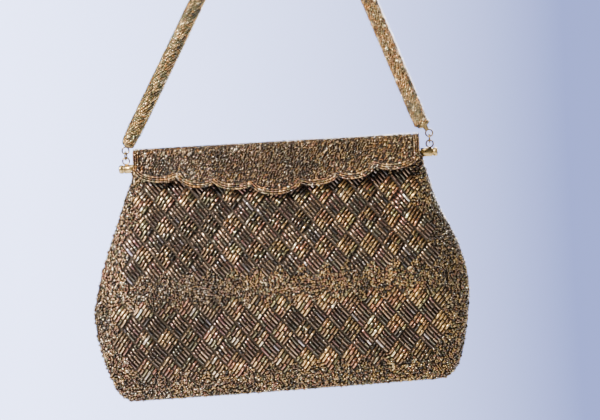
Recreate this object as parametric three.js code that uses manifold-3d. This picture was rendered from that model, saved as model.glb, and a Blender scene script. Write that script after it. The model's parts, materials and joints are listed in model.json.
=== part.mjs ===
// Beaded frame evening bag with a scalloped flap and a beaded rope handle.
// Millimetres, +Z up, +X to the wearer's right, the flap faces -Y.
// The origin is the point where a hook would carry the handle, under the top of its loop.
import * as THREE from 'three';
import { mergeVertices } from 'three/addons/utils/BufferGeometryUtils.js';
import Module from 'manifold-3d';

const wasm = await Module();
wasm.setup();

// Driving dimensions
const FIT = 0.35;                 // gap between pieces that touch
const BELLY_HALF_WIDTH = 116;     // widest place of the body
const MOUTH_HALF_WIDTH = 88.6;    // body at the frame
const BASE_HALF_WIDTH = 101.5;    // body at the bottom
const BELLY_DEPTH = 88;           // widest place, below the hinge line
const BODY_HEIGHT = 142.3;        // hinge line to bottom
const BASE_CORNER = 8;            // rounded lower corners of the body
const UPPER_CURVE = 1.4;          // how full the sides are above the widest place
const LOWER_CURVE = 2.2;          // and below it
const MOUTH_DROP = 6.8;           // hinge line to the top edge of the soft body
const MOUTH_HALF_THICK = 5.6;     // half the body's thickness at the mouth
const BELLY_HALF_THICK = 21;      // half its thickness where it is fullest
const BASE_HALF_THICK = 20;
const MOUTH_HALF_GUSSET = 4.4;    // half the width of the side strips
const BELLY_HALF_GUSSET = 15;
const BASE_HALF_GUSSET = 17;
const GUSSET_RISE = 2.8;          // bottom of the body to the side strips
const PANEL_WALL = 1.6;
const LINING_WALL = 0.7;
const BOARD_THICK = 1.8;
const LINING_RISE = 0.6;          // floor of the lining to its walls
const POCKET_HALF_WIDTH = 42;
const POCKET_TOP = 45;
const POCKET_BOTTOM = 98;

const PIN_RADIUS = 1.3;
const PIN_HEAD_RADIUS = 2.2;
const PIN_HEAD = 0.9;
const BARREL_RADIUS = 2.7;
const BARREL_LENGTH = 10.3;
const BARREL_BORE_DEPTH = 6;
const BARREL_GAP = 0.4;           // side edge of the flap to a barrel
const GROOVE_START = 3.4;         // groove round a barrel, from its outer end
const GROOVE_END = 2.4;
const GROOVE_DEPTH = 0.6;
const GROOVE_SLOPE = 0.2;
const BARREL_CHAMFER = 0.5;
const RING_WIRE = 0.5;            // radius of the wire of the eyes and rings
const EYE_RADIUS = 2.15;          // centre line of an eye
const EYE_PLACE = 0.56;           // share of a barrel's length where its eye stands
const EYE_CLEAR = 0.4;            // share of the wire that shows under the eye's centre line
const JUMP_RADIUS = 2.5;          // centre line of a jump ring
const CAP_NECK_RADIUS = 1.5;
const CAP_NECK_FLARE = 0.6;
const CAP_NECK_LENGTH = 9;
const CAP_BELL_LENGTH = 1.5;
const ROPE_RADIUS = 5;
const ROPE_SIDES = 10;

const ARM_THICK = 1.2;
const ARM_INSET = 2.3;            // side edge of the flap to the outer arms
const ARM_OVERLAP = 1;            // how far an arm reaches up its bar
const BAR_THICK = 2.8;            // frame bar, front to back
const BAR_HEIGHT = 2.6;
const BAR_RISE = 4.6;             // hinge line to the underside of the bar
const BAR_SPLIT = 0.4;            // half the gap between the two closed bars
const BOSS_RADIUS = 2.5;
const BOSS_DIAGONAL = BOSS_RADIUS * 0.7;
const BAND_WALL = 1.6;
const BAND_BOTTOM = -2;
const BAND_FOLD = 2.2;
const BAND_INSET = 0.5;           // side edge of the flap to the end of a cover band

const FLAP_HALF_WIDTH = 88.5;
const FLAP_TOP = 11.7;            // top of the flap above the hinge line
const FLAP_COVER = 1.2;
const FLAP_LINING = 0.7;
const FLAP_STANDOFF = 1.7;        // flap lining to the front cover band
const FLAP_LEAN = 0.09;           // how fast the flap leans out as it goes down
const FLAP_FOLD = 4.5;            // outer radius of its two folds
const FLAP_SIDE_DROP = 14;        // length of its side edges below its top
const FLAP_HINGE_HEIGHT = 4;
const HEM_GAP = 0.3;              // flap's turning line to its rear hem
const HEM_RISE = 0.55;            // slope of the rear hem, so that it turns without rubbing
// Seven scallops: centre line to cusp distances, and how far lobes and cusps hang.
const SCALLOP_CUSPS = [15.5, 38, 61];
const CUSP_DROPS = [27, 24, 19.5];
const LOBE_DROPS = [33, 28.5, 26, 21.5];
const LOBE_SPREAD = 0.16;         // a lobe's control points, from its cusps, over its width
const CUT_REACH = 30;             // half the depth of the cutter that trims the flap
const LINING_INSET = 1;           // edge of the flap to its lining

const SNAP_DROP = 13;
const SNAP_RADIUS = 4;
const SNAP_PLATE = 0.4;
const SNAP_STUD_RADIUS = 2.2;
const SNAP_SOCKET_RADIUS = 4.4;
const SNAP_HOLE_RADIUS = 3.4;
const SNAP_RIM = 0.3;

const HOOK_ARC_RADIUS = 22;       // loop of the handle over its hook
const HOOK_SIDE = 16;             // the hook sits this far right of the bag's middle
const HOOK_RISE = 181.6;          // hook point above the hinge line

// Colour, roughness and metalness of each finish
const COLOURS = {
  body_beadwork: ['#8a6a3c', 0.35, 0.6],
  flap_beadwork: ['#7d5226', 0.35, 0.6],
  handle_beadwork: ['#a08434', 0.35, 0.6],
  gold_metal: ['#d8b061', 0.25, 1],
  satin_lining: ['#cdb58a', 0.5, 0],
  base_board: ['#8d7a60', 0.9, 0],
  snap_metal: ['#b7b2a6', 0.3, 1],
};
const materialOf = (slot) => {
  const [color, roughness, metalness] = COLOURS[slot];
  return new THREE.MeshStandardMaterial({ color, roughness, metalness });
};

// Placing: every piece but the rope is modelled from the middle of the hinge line.
const purse = new THREE.Group();
const fromHinge = new THREE.Group();
fromHinge.position.set(-HOOK_SIDE, 0, -HOOK_RISE);
purse.add(fromHinge);

const addPiece = (name, slot, geometry, parent = fromHinge) => {
  const mesh = new THREE.Mesh(geometry, materialOf(slot));
  mesh.name = name;
  parent.add(mesh);
  return mesh;
};

// Solids
const toSolid = (geometry) => {
  const bare = geometry.clone();
  bare.deleteAttribute('normal');
  bare.deleteAttribute('uv');
  const merged = mergeVertices(bare, 1e-4);
  const vertProperties = new Float32Array(merged.attributes.position.array);
  const triVerts = new Uint32Array(merged.index.array);
  return new wasm.Manifold(new wasm.Mesh({ numProp: 3, vertProperties, triVerts }));
};
const toGeometry = (solid) => {
  const mesh = solid.getMesh();
  const geometry = new THREE.BufferGeometry();
  geometry.setAttribute('position', new THREE.BufferAttribute(mesh.vertProperties, 3));
  geometry.setIndex(new THREE.BufferAttribute(mesh.triVerts, 1));
  return geometry;
};
const join = (...parts) => toGeometry(parts.map(toSolid).reduce((a, b) => a.add(b)));
const common = (a, b) => toGeometry(toSolid(a).intersect(toSolid(b)));

// A thin closed body between an outer and an inner surface over u, v from 0 to 1.
const skin = (uSteps, vSteps, outer, inner) => {
  const columns = uSteps + 1;
  const rows = vSteps + 1;
  const points = [];
  for (const surface of [outer, inner]) {
    for (let j = 0; j < rows; j += 1) {
      for (let i = 0; i < columns; i += 1) points.push(...surface(i / uSteps, j / vSteps));
    }
  }
  const at = (side, i, j) => side * columns * rows + j * columns + i;
  const faces = [];
  const quad = (a, b, c, d) => faces.push(a, b, c, a, c, d);
  for (let j = 0; j < vSteps; j += 1) {
    for (let i = 0; i < uSteps; i += 1) {
      quad(at(0, i, j), at(0, i + 1, j), at(0, i + 1, j + 1), at(0, i, j + 1));
      quad(at(1, i, j), at(1, i, j + 1), at(1, i + 1, j + 1), at(1, i + 1, j));
    }
  }
  for (let i = 0; i < uSteps; i += 1) {
    quad(at(0, i, 0), at(1, i, 0), at(1, i + 1, 0), at(0, i + 1, 0));
    quad(at(0, i + 1, vSteps), at(1, i + 1, vSteps), at(1, i, vSteps), at(0, i, vSteps));
  }
  for (let j = 0; j < vSteps; j += 1) {
    quad(at(0, 0, j + 1), at(1, 0, j + 1), at(1, 0, j), at(0, 0, j));
    quad(at(0, uSteps, j), at(1, uSteps, j), at(1, uSteps, j + 1), at(0, uSteps, j + 1));
  }
  const geometry = new THREE.BufferGeometry();
  geometry.setAttribute('position', new THREE.Float32BufferAttribute(points, 3));
  geometry.setIndex(faces);
  return outward(geometry);
};

// Turns a closed body's faces outwards by the sign of its volume.
const outward = (geometry) => {
  const index = geometry.index.array;
  const corner = [new THREE.Vector3(), new THREE.Vector3(), new THREE.Vector3()];
  let volume = 0;
  for (let f = 0; f < index.length; f += 3) {
    corner.forEach((point, k) => point.fromBufferAttribute(geometry.attributes.position, index[f + k]));
    volume += corner[0].dot(corner[1].clone().cross(corner[2]));
  }
  if (volume < 0) {
    for (let f = 0; f < index.length; f += 3) {
      const swap = index[f + 1];
      index[f + 1] = index[f + 2];
      index[f + 2] = swap;
    }
  }
  return geometry;
};

// An outline in the plane across the bag (y, z), carried along X from x0 to x1.
const alongX = (outline, x0, x1, holes = []) => {
  const shape = new THREE.Shape(outline.map(([y, z]) => new THREE.Vector2(y, z)));
  for (const [y, z, radius] of holes) {
    shape.holes.push(new THREE.Path().absarc(y, z, radius, 0, Math.PI * 2));
  }
  const geometry = new THREE.ExtrudeGeometry(shape, {
    depth: Math.abs(x1 - x0), bevelEnabled: false, curveSegments: 7 });
  geometry.applyMatrix4(new THREE.Matrix4().makeBasis(
    new THREE.Vector3(0, 1, 0), new THREE.Vector3(0, 0, 1), new THREE.Vector3(1, 0, 0)));
  return geometry.translate(Math.min(x0, x1), 0, 0);
};
const box = (x0, x1, y0, y1, z0, z1) => new THREE.BoxGeometry(x1 - x0, y1 - y0, z1 - z0)
  .translate((x0 + x1) / 2, (y0 + y1) / 2, (z0 + z1) / 2);
// A turned piece on the X axis: profile of [radius, distance from the middle of the bag].
const turnedX = (profile, side) => {
  const geometry = new THREE.LatheGeometry(
    profile.map(([radius, x]) => new THREE.Vector2(radius, x)), 16);
  geometry.rotateZ(-Math.PI / 2);
  if (side < 0) geometry.rotateZ(Math.PI);
  return geometry;
};

// The soft body: half width, half thickness and half gusset at a depth below the hinge line.
const ease = (t) => t * t * (3 - 2 * t);
const clamp01 = (t) => Math.min(1, Math.max(0, t));
const blendSize = (mouth, belly, base, depth, down, along) => (depth < BELLY_DEPTH
  ? mouth + (belly - mouth) * down(clamp01(depth / BELLY_DEPTH))
  : belly + (base - belly) * along(clamp01((depth - BELLY_DEPTH) / (BODY_HEIGHT - BELLY_DEPTH))));
const halfWidth = (depth) => blendSize(MOUTH_HALF_WIDTH, BELLY_HALF_WIDTH, BASE_HALF_WIDTH,
  depth, (t) => 1 - (1 - t) ** UPPER_CURVE, (t) => t ** LOWER_CURVE);
const cornerInset = (depth) => {
  const reach = Math.max(0, BASE_CORNER - (BODY_HEIGHT - depth));
  return BASE_CORNER - Math.sqrt(BASE_CORNER ** 2 - reach ** 2);
};
const outlineWidth = (depth) => halfWidth(depth) - cornerInset(depth);
const halfThick = (depth) => blendSize(MOUTH_HALF_THICK, BELLY_HALF_THICK, BASE_HALF_THICK,
  depth, ease, (t) => t);
const halfGusset = (depth) => blendSize(MOUTH_HALF_GUSSET, BELLY_HALF_GUSSET, BASE_HALF_GUSSET,
  depth, ease, (t) => t);
// Half thickness at x: full in the middle, down to the gusset's half width at the edge.
const faceOut = (x, depth) => {
  const gusset = halfGusset(depth);
  const t = clamp01(Math.abs(x) / outlineWidth(depth));
  return gusset + (halfThick(depth) - gusset) * (1 - t ** 3);
};

const LAYER = {
  panel: 0,
  lining: PANEL_WALL + FIT,
  pocket: PANEL_WALL + LINING_WALL + 2 * FIT,
};
// All the sheets share their depths, so that their edges run side by side.
const GUSSET_TOP = BARREL_RADIUS + FIT;
const GUSSET_BOTTOM = BODY_HEIGHT - GUSSET_RISE;
const LINING_BOTTOM = BODY_HEIGHT - PANEL_WALL - BOARD_THICK - 2 * FIT - LINING_RISE;
const BODY_STEPS = 12;
const LINING_DEPTHS = Array.from({ length: BODY_STEPS + 1 },
  (_, k) => MOUTH_DROP + (LINING_BOTTOM - MOUTH_DROP) * (k / BODY_STEPS));
const GUSSET_DEPTHS = [GUSSET_TOP, ...LINING_DEPTHS, GUSSET_BOTTOM];
const PANEL_DEPTHS = [...LINING_DEPTHS, GUSSET_BOTTOM, BODY_HEIGHT - 1, BODY_HEIGHT];
const POCKET_DEPTHS = [POCKET_TOP, (POCKET_TOP + POCKET_BOTTOM) / 2, POCKET_BOTTOM];
const depthAt = (depths, v) => depths[Math.round(v * (depths.length - 1))];

// A front (side -1) or rear (side +1) sheet of the body.
const faceSheet = (side, inset, wall, depths, limit, uSteps) => {
  const surface = (offset) => (u, v) => {
    const depth = depthAt(depths, v);
    const reach = Math.min(outlineWidth(depth) - offset, limit);
    const x = (2 * u - 1) * reach;
    const t = x / (outlineWidth(depth) - offset) * outlineWidth(depth);
    return [x, side * (faceOut(t, depth) - offset), -depth];
  };
  return skin(uSteps, depths.length - 1, surface(inset), surface(inset + wall));
};
// A side strip of the body, its edges mitred against the front and rear sheets.
const sideStrip = (side, inset, wall, depths) => {
  const surface = (offset) => (u, v) => {
    const depth = depthAt(depths, v);
    const reach = halfGusset(depth) - offset - FIT * 1.5;
    return [side * (outlineWidth(depth) - offset), (2 * u - 1) * reach, -depth];
  };
  return skin(2, depths.length - 1, surface(inset), surface(inset + wall));
};
for (const [where, side] of [['front', -1], ['rear', 1]]) {
  addPiece(`${where}_panel`, 'body_beadwork',
    faceSheet(side, LAYER.panel, PANEL_WALL, PANEL_DEPTHS, Infinity, 14));
  addPiece(`lining_${where}`, 'satin_lining',
    faceSheet(side, LAYER.lining, LINING_WALL, LINING_DEPTHS, Infinity, 14));
}
addPiece('inner_pocket', 'satin_lining',
  faceSheet(1, LAYER.pocket, LINING_WALL, POCKET_DEPTHS, POCKET_HALF_WIDTH, 4));
for (const [where, side] of [['left', -1], ['right', 1]]) {
  addPiece(`gusset_${where}`, 'body_beadwork',
    sideStrip(side, LAYER.panel, PANEL_WALL, GUSSET_DEPTHS));
  addPiece(`lining_${where}`, 'satin_lining',
    sideStrip(side, LAYER.lining, LINING_WALL, LINING_DEPTHS));
}

// The base turns up round the lower corners, where it reaches the side strips.
const BASE_FLAT = BASE_HALF_WIDTH - BASE_CORNER;
const BASE_REACH = Math.min(outlineWidth(GUSSET_BOTTOM), BASE_HALF_WIDTH) - PANEL_WALL - FIT;
const flatStops = Array.from({ length: 9 }, (_, k) => BASE_FLAT * (k / 4 - 1));
const turnedStops = [BASE_FLAT + (BASE_REACH - BASE_FLAT) * 0.55, BASE_REACH];
const baseSheet = (lift, wall, stops, edge) => {
  const surface = (offset) => (u, v) => {
    const x = depthAt(stops, u);
    const past = Math.max(0, Math.abs(x) - BASE_FLAT);
    const turn = BASE_CORNER - Math.sqrt(BASE_CORNER ** 2 - past ** 2);
    const width = faceOut(Math.min(Math.abs(x), BASE_FLAT), BODY_HEIGHT) - edge;
    return [x, (2 * v - 1) * width, -BODY_HEIGHT + offset + turn];
  };
  return skin(stops.length - 1, 1, surface(lift), surface(lift + wall));
};
addPiece('base_cover', 'body_beadwork', baseSheet(0, PANEL_WALL,
  [...turnedStops.map((x) => -x).reverse(), ...flatStops, ...turnedStops], PANEL_WALL + FIT));
addPiece('base_board', 'base_board', baseSheet(PANEL_WALL + FIT, BOARD_THICK,
  flatStops, LAYER.lining + LINING_WALL + FIT));
addPiece('lining_base', 'satin_lining', baseSheet(PANEL_WALL + BOARD_THICK + 2 * FIT, LINING_WALL,
  flatStops, LAYER.lining + LINING_WALL + FIT));

// Hinge pins, barrels with their eyes, frame halves and the cover bands on them.
const REAR_ARM_OUT = FLAP_HALF_WIDTH - ARM_INSET;
const REAR_ARM_IN = REAR_ARM_OUT - ARM_THICK;
const FRONT_ARM_OUT = REAR_ARM_IN - FIT;
const FRONT_ARM_IN = FRONT_ARM_OUT - ARM_THICK;
const BARREL_START = FLAP_HALF_WIDTH + BARREL_GAP;
const BARREL_END = BARREL_START + BARREL_LENGTH;
const EYE_X = BARREL_START + BARREL_LENGTH * EYE_PLACE;
const EYE_HEIGHT = BARREL_RADIUS + EYE_RADIUS + RING_WIRE * EYE_CLEAR;
const ringFacing = (axis, radius, x, z) => {
  const ring = new THREE.TorusGeometry(radius, RING_WIRE, 7, 16);
  if (axis === 'x') ring.rotateY(Math.PI / 2);
  if (axis === 'y') ring.rotateX(Math.PI / 2);
  return ring.translate(x, 0, z);
};
for (const [where, side] of [['left', -1], ['right', 1]]) {
  addPiece(`hinge_pin_${where}`, 'gold_metal', turnedX([
    [0, FRONT_ARM_IN - FIT - PIN_HEAD], [PIN_HEAD_RADIUS, FRONT_ARM_IN - FIT - PIN_HEAD],
    [PIN_HEAD_RADIUS, FRONT_ARM_IN - FIT], [PIN_RADIUS, FRONT_ARM_IN - FIT],
    [PIN_RADIUS, BARREL_START + BARREL_BORE_DEPTH - FIT],
    [0, BARREL_START + BARREL_BORE_DEPTH - FIT]], side));
  const bore = PIN_RADIUS + FIT;
  const barrel = turnedX([
    [bore, BARREL_START], [BARREL_RADIUS, BARREL_START],
    [BARREL_RADIUS, BARREL_END - GROOVE_START],
    [BARREL_RADIUS - GROOVE_DEPTH, BARREL_END - GROOVE_START + GROOVE_SLOPE],
    [BARREL_RADIUS - GROOVE_DEPTH, BARREL_END - GROOVE_END - GROOVE_SLOPE],
    [BARREL_RADIUS, BARREL_END - GROOVE_END], [BARREL_RADIUS, BARREL_END - BARREL_CHAMFER],
    [BARREL_RADIUS - GROOVE_DEPTH, BARREL_END], [0, BARREL_END],
    [0, BARREL_START + BARREL_BORE_DEPTH], [bore, BARREL_START + BARREL_BORE_DEPTH],
    [bore, BARREL_START]], side);
  addPiece(`hinge_barrel_${where}`, 'gold_metal',
    join(barrel, ringFacing('y', EYE_RADIUS, side * EYE_X, EYE_HEIGHT)));
}
const bandTop = BAR_RISE + BAR_HEIGHT + FIT + BAND_WALL;
const bandOut = BAR_SPLIT + BAR_THICK + FIT + BAND_WALL;
for (const [where, side] of [['front', -1], ['rear', 1]]) {
  const armOut = side < 0 ? FRONT_ARM_OUT : REAR_ARM_OUT;
  const bar = box(-armOut, armOut, Math.min(side * BAR_SPLIT, side * (BAR_SPLIT + BAR_THICK)),
    Math.max(side * BAR_SPLIT, side * (BAR_SPLIT + BAR_THICK)), BAR_RISE, BAR_RISE + BAR_HEIGHT);
  const armOutline = [
    [-BOSS_RADIUS, 0], [-BOSS_DIAGONAL, -BOSS_DIAGONAL], [0, -BOSS_RADIUS],
    [BOSS_DIAGONAL, -BOSS_DIAGONAL], [BOSS_RADIUS, 0],
    [side > 0 ? BAR_SPLIT + BAR_THICK : -BAR_SPLIT, BAR_RISE + ARM_OVERLAP],
    [side > 0 ? BAR_SPLIT : -BAR_SPLIT - BAR_THICK, BAR_RISE + ARM_OVERLAP]];
  const arms = [-1, 1].map((end) => alongX(armOutline,
    end * armOut, end * (armOut - ARM_THICK), [[0, 0, PIN_RADIUS + FIT]]));
  addPiece(`${where}_frame`, 'gold_metal', join(bar, ...arms));
  const inner = bandOut - BAND_WALL;
  addPiece(`${where}_cover_band`, 'body_beadwork', alongX([
    [side * inner, BAND_BOTTOM], [side * bandOut, BAND_BOTTOM],
    [side * bandOut, bandTop - BAND_FOLD], [side * (bandOut - BAND_FOLD), bandTop],
    [side * BAR_SPLIT, bandTop], [side * BAR_SPLIT, bandTop - BAND_WALL],
    [side * inner, bandTop - BAND_WALL]],
  -FLAP_HALF_WIDTH + BAND_INSET, FLAP_HALF_WIDTH - BAND_INSET));
}

// The flap: one strip from the rear band over the frame and down the front, cut to scallops.
const FLAP_WALL = FLAP_COVER + FIT + FLAP_LINING;
const flapFront = bandOut + FLAP_STANDOFF + FLAP_WALL;
const flapRear = bandOut + FIT + FLAP_WALL;
const arcPoints = (y, z, radius, from, to, steps) => Array.from({ length: steps + 1 }, (_, k) => {
  const angle = from + (to - from) * (k / steps);
  return [y + radius * Math.cos(angle), z + radius * Math.sin(angle)];
});
const flapLine = (offset) => {
  const fold = FLAP_FOLD - offset;
  const top = FLAP_TOP - FLAP_FOLD;
  const lowest = FLAP_TOP - Math.max(...LOBE_DROPS) - 1;
  const rear = flapRear - offset;
  const hem = FLAP_HINGE_HEIGHT + HEM_GAP + HEM_RISE * (rear - bandOut);
  return [
    [-(flapFront - offset) - FLAP_LEAN * (top - lowest), lowest],
    ...arcPoints(-(flapFront - FLAP_FOLD), top, fold, Math.PI, Math.PI / 2, 4),
    ...arcPoints(flapRear - FLAP_FOLD, top, fold, Math.PI / 2, 0, 4),
    [rear, hem]];
};
const flapStrip = (offset, wall, halfWidthOf) => alongX(
  [...flapLine(offset), ...flapLine(offset + wall).reverse()], -halfWidthOf, halfWidthOf);
const scallopOutline = (inset) => {
  const half = FLAP_HALF_WIDTH - inset;
  const at = (drop) => FLAP_TOP - drop + inset;
  const shape = new THREE.Shape();
  shape.moveTo(-half, FLAP_TOP + FLAP_FOLD);
  shape.lineTo(-half, at(FLAP_SIDE_DROP));
  const stops = [...SCALLOP_CUSPS].reverse().map((x, k) => [-x, CUSP_DROPS[2 - k]])
    .concat(SCALLOP_CUSPS.map((x, k) => [x, CUSP_DROPS[k]]), [[half, FLAP_SIDE_DROP]]);
  const lobes = [...LOBE_DROPS].reverse().concat(LOBE_DROPS.slice(1));
  let fromX = -half;
  let fromDrop = FLAP_SIDE_DROP;
  stops.forEach(([x, drop], k) => {
    // The control points hang so that the curve's lowest point is the lobe's drop.
    const deep = (lobes[k] - (fromDrop + drop) / 8) / 0.75;
    const spread = (x - fromX) * LOBE_SPREAD;
    shape.bezierCurveTo(fromX + spread, at(deep), x - spread, at(deep), x, at(drop));
    fromX = x;
    fromDrop = drop;
  });
  shape.lineTo(half, FLAP_TOP + FLAP_FOLD);
  const geometry = new THREE.ExtrudeGeometry(shape, {
    depth: 2 * CUT_REACH, bevelEnabled: false, curveSegments: 6 });
  return geometry.rotateX(Math.PI / 2).translate(0, CUT_REACH, 0);
};
addPiece('flap_cover', 'flap_beadwork',
  common(flapStrip(0, FLAP_COVER, FLAP_HALF_WIDTH), scallopOutline(0)));
addPiece('flap_lining', 'satin_lining',
  common(flapStrip(FLAP_COVER + FIT, FLAP_LINING, FLAP_HALF_WIDTH - LINING_INSET),
    scallopOutline(LINING_INSET)));

// Snap fastener: stud on the body, socket under the flap.
const SNAP_TILT = Math.atan(FLAP_LEAN);
const snapPiece = (name, profile, y) => {
  const geometry = new THREE.LatheGeometry(
    profile.map(([radius, out]) => new THREE.Vector2(radius, out)), 16);
  geometry.rotateX(-SNAP_TILT);
  addPiece(name, 'snap_metal', outward(geometry.translate(0, y, -SNAP_DROP)));
};
snapPiece('snap_stud', [[0, 0], [SNAP_RADIUS, 0], [SNAP_RADIUS, -SNAP_PLATE],
  [SNAP_STUD_RADIUS, -SNAP_PLATE], [SNAP_STUD_RADIUS, -2 * SNAP_PLATE],
  [0, -2 * SNAP_PLATE]], -faceOut(0, SNAP_DROP) - FIT);
const flapInner = flapFront - FLAP_WALL + FLAP_LEAN * (FLAP_TOP - FLAP_FOLD + SNAP_DROP);
snapPiece('snap_socket', [[0, 0], [SNAP_SOCKET_RADIUS, 0],
  [SNAP_SOCKET_RADIUS, SNAP_PLATE + SNAP_RIM], [SNAP_HOLE_RADIUS, SNAP_PLATE + SNAP_RIM],
  [SNAP_HOLE_RADIUS, SNAP_PLATE], [0, SNAP_PLATE]], -flapInner + FIT);

// The handle: jump rings through the eyes, end caps, and the beaded rope.
const SWING_HEIGHT = EYE_HEIGHT + EYE_RADIUS;
const JUMP_HEIGHT = SWING_HEIGHT - 2 * RING_WIRE - FIT + JUMP_RADIUS;
const CAP_EYE_HEIGHT = JUMP_HEIGHT + JUMP_RADIUS - 2 * RING_WIRE - FIT + EYE_RADIUS;
// Rope centre line from cap to cap over the hook, from the hook point.
const ROPE_POINTS = [
  [-105.4, -159.8], [-98.0, -146.7], [-91.1, -134.4], [-81.3, -116.9], [-71.5, -99.5],
  [-61.8, -82.0], [-52.0, -64.6], [-38.5, -40.6], [-25.1, -16.7], [-19.2, -6.0],
  [-15.6, -1.4], [-11.0, 2.1], [-5.7, 4.3], [0, 5.0], [5.7, 4.3],
  [11.0, 2.1], [15.6, -1.4], [20.3, -9.5], [23.8, -20.8], [29.7, -38.6],
  [35.6, -56.5], [42.3, -75.3], [49.1, -94.1], [55.9, -112.9], [62.7, -131.7],
  [67.6, -145.4], [72.4, -159.1],
];
const ROPE_STEPS = 44;
const ropeCurve = new THREE.CatmullRomCurve3(
  ROPE_POINTS.map(([x, z]) => new THREE.Vector3(x, 0, z)), false, 'centripetal');
const ropeSection = new THREE.Shape(Array.from({ length: ROPE_SIDES }, (_, k) => {
  const angle = (k / ROPE_SIDES) * Math.PI * 2;
  return new THREE.Vector2(ROPE_RADIUS * Math.cos(angle), ROPE_RADIUS * Math.sin(angle));
}));
addPiece('handle_rope', 'handle_beadwork', new THREE.ExtrudeGeometry(ropeSection, {
  steps: ROPE_STEPS, extrudePath: ropeCurve, bevelEnabled: false }), purse);
for (const [where, side] of [['left', -1], ['right', 1]]) {
  addPiece(`jump_ring_${where}`, 'gold_metal',
    ringFacing('x', JUMP_RADIUS, side * EYE_X, JUMP_HEIGHT));
  const ropeEnd = side < 0 ? ROPE_POINTS[0] : ROPE_POINTS[ROPE_POINTS.length - 1];
  const eye = new THREE.Vector3(side * EYE_X, 0, CAP_EYE_HEIGHT);
  const end = new THREE.Vector3(ropeEnd[0] + HOOK_SIDE, 0, ropeEnd[1] + HOOK_RISE);
  // The rope's end may lean a little against its cap, whose mouth stops short of it.
  const tilt = ropeCurve.getTangent(side < 0 ? 0 : 1).angleTo(end.clone().sub(eye));
  const reach = end.distanceTo(eye) - ROPE_RADIUS * Math.sin(tilt) - FIT;
  const lean = Math.atan2(end.x - eye.x, end.z - eye.z);
  const bell = new THREE.LatheGeometry([
    [0, EYE_RADIUS], [CAP_NECK_RADIUS, EYE_RADIUS], [CAP_NECK_RADIUS + CAP_NECK_FLARE, CAP_NECK_LENGTH],
    [ROPE_RADIUS, CAP_NECK_LENGTH + CAP_BELL_LENGTH], [ROPE_RADIUS, reach], [0, reach],
  ].map(([radius, up]) => new THREE.Vector2(radius, up)), 14).rotateX(Math.PI / 2);
  const cap = addPiece(`end_cap_${where}`, 'gold_metal',
    join(ringFacing('y', EYE_RADIUS, 0, 0), bell));
  cap.position.copy(eye);
  cap.rotation.y = lean;
}

export default purse;
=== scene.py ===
"""Looks of a beaded frame evening bag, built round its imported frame.

Every fabric face is a sheet worked out from two parameters, and every bead is a small turned
solid sewn to such a sheet. Metal fittings are turned or bent profiles. Sizes are in metres.
"""

import json
import math

import bpy
import numpy as np
from mathutils import Matrix, Vector


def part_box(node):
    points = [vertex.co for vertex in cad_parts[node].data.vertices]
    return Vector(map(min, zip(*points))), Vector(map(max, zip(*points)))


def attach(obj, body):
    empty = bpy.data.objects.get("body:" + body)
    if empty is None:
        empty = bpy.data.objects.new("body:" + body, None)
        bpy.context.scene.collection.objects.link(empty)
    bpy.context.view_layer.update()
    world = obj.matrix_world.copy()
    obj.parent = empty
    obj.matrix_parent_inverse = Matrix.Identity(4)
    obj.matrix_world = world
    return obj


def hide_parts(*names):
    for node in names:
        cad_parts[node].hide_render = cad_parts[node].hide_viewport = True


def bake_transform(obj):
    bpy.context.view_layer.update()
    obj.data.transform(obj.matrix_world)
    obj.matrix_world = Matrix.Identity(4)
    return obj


bl_info = {
    "name": "Beaded Evening Bag",
    "version": (1, 0, 0),
    "blender": (4, 5, 0),
    "location": "View3D > Sidebar > Evening Bag",
    "description": "Builds the beadwork, lining, metal and handle of a frame evening bag",
    "category": "Add Mesh",
}

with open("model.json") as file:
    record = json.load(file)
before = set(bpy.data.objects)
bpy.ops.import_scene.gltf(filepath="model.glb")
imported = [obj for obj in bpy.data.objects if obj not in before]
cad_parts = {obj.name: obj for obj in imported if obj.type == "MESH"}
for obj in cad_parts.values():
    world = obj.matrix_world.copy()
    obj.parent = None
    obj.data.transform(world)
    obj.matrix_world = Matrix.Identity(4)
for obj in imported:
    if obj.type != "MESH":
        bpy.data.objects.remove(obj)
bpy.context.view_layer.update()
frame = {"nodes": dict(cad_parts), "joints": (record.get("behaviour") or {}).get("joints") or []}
MM = 0.001


def node_box(node):
    """Lowest and highest corner of a frame node, as arrays."""
    low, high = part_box(node)
    return np.array(low, float), np.array(high, float)


# Places and sizes read from the frame
HINGE = next(joint["pos_m"] for joint in frame["joints"] if joint["name"] == "frame_open")
MIDDLE, HINGE_Z = HINGE[0], HINGE[2]
PANEL_LOW, PANEL_HIGH = node_box("front_panel")
FLAP_LOW, FLAP_HIGH = node_box("flap_cover")
BAND_LOW, BAND_HIGH = node_box("rear_cover_band")
BARREL_LOW, BARREL_HIGH = node_box("hinge_barrel_right")

BELLY_HALF_WIDTH = (PANEL_HIGH[0] - PANEL_LOW[0]) / 2
BELLY_HALF_THICK = -PANEL_LOW[1]
BODY_HEIGHT = HINGE_Z - PANEL_LOW[2]
MOUTH_DROP = HINGE_Z - PANEL_HIGH[2]
FLAP_HALF_WIDTH = (FLAP_HIGH[0] - FLAP_LOW[0]) / 2
FLAP_RISE = FLAP_HIGH[2] - HINGE_Z
BAND_OUT = BAND_HIGH[1]
BAND_RISE = BAND_HIGH[2] - HINGE_Z
BAND_DROP = HINGE_Z - BAND_LOW[2]

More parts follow.
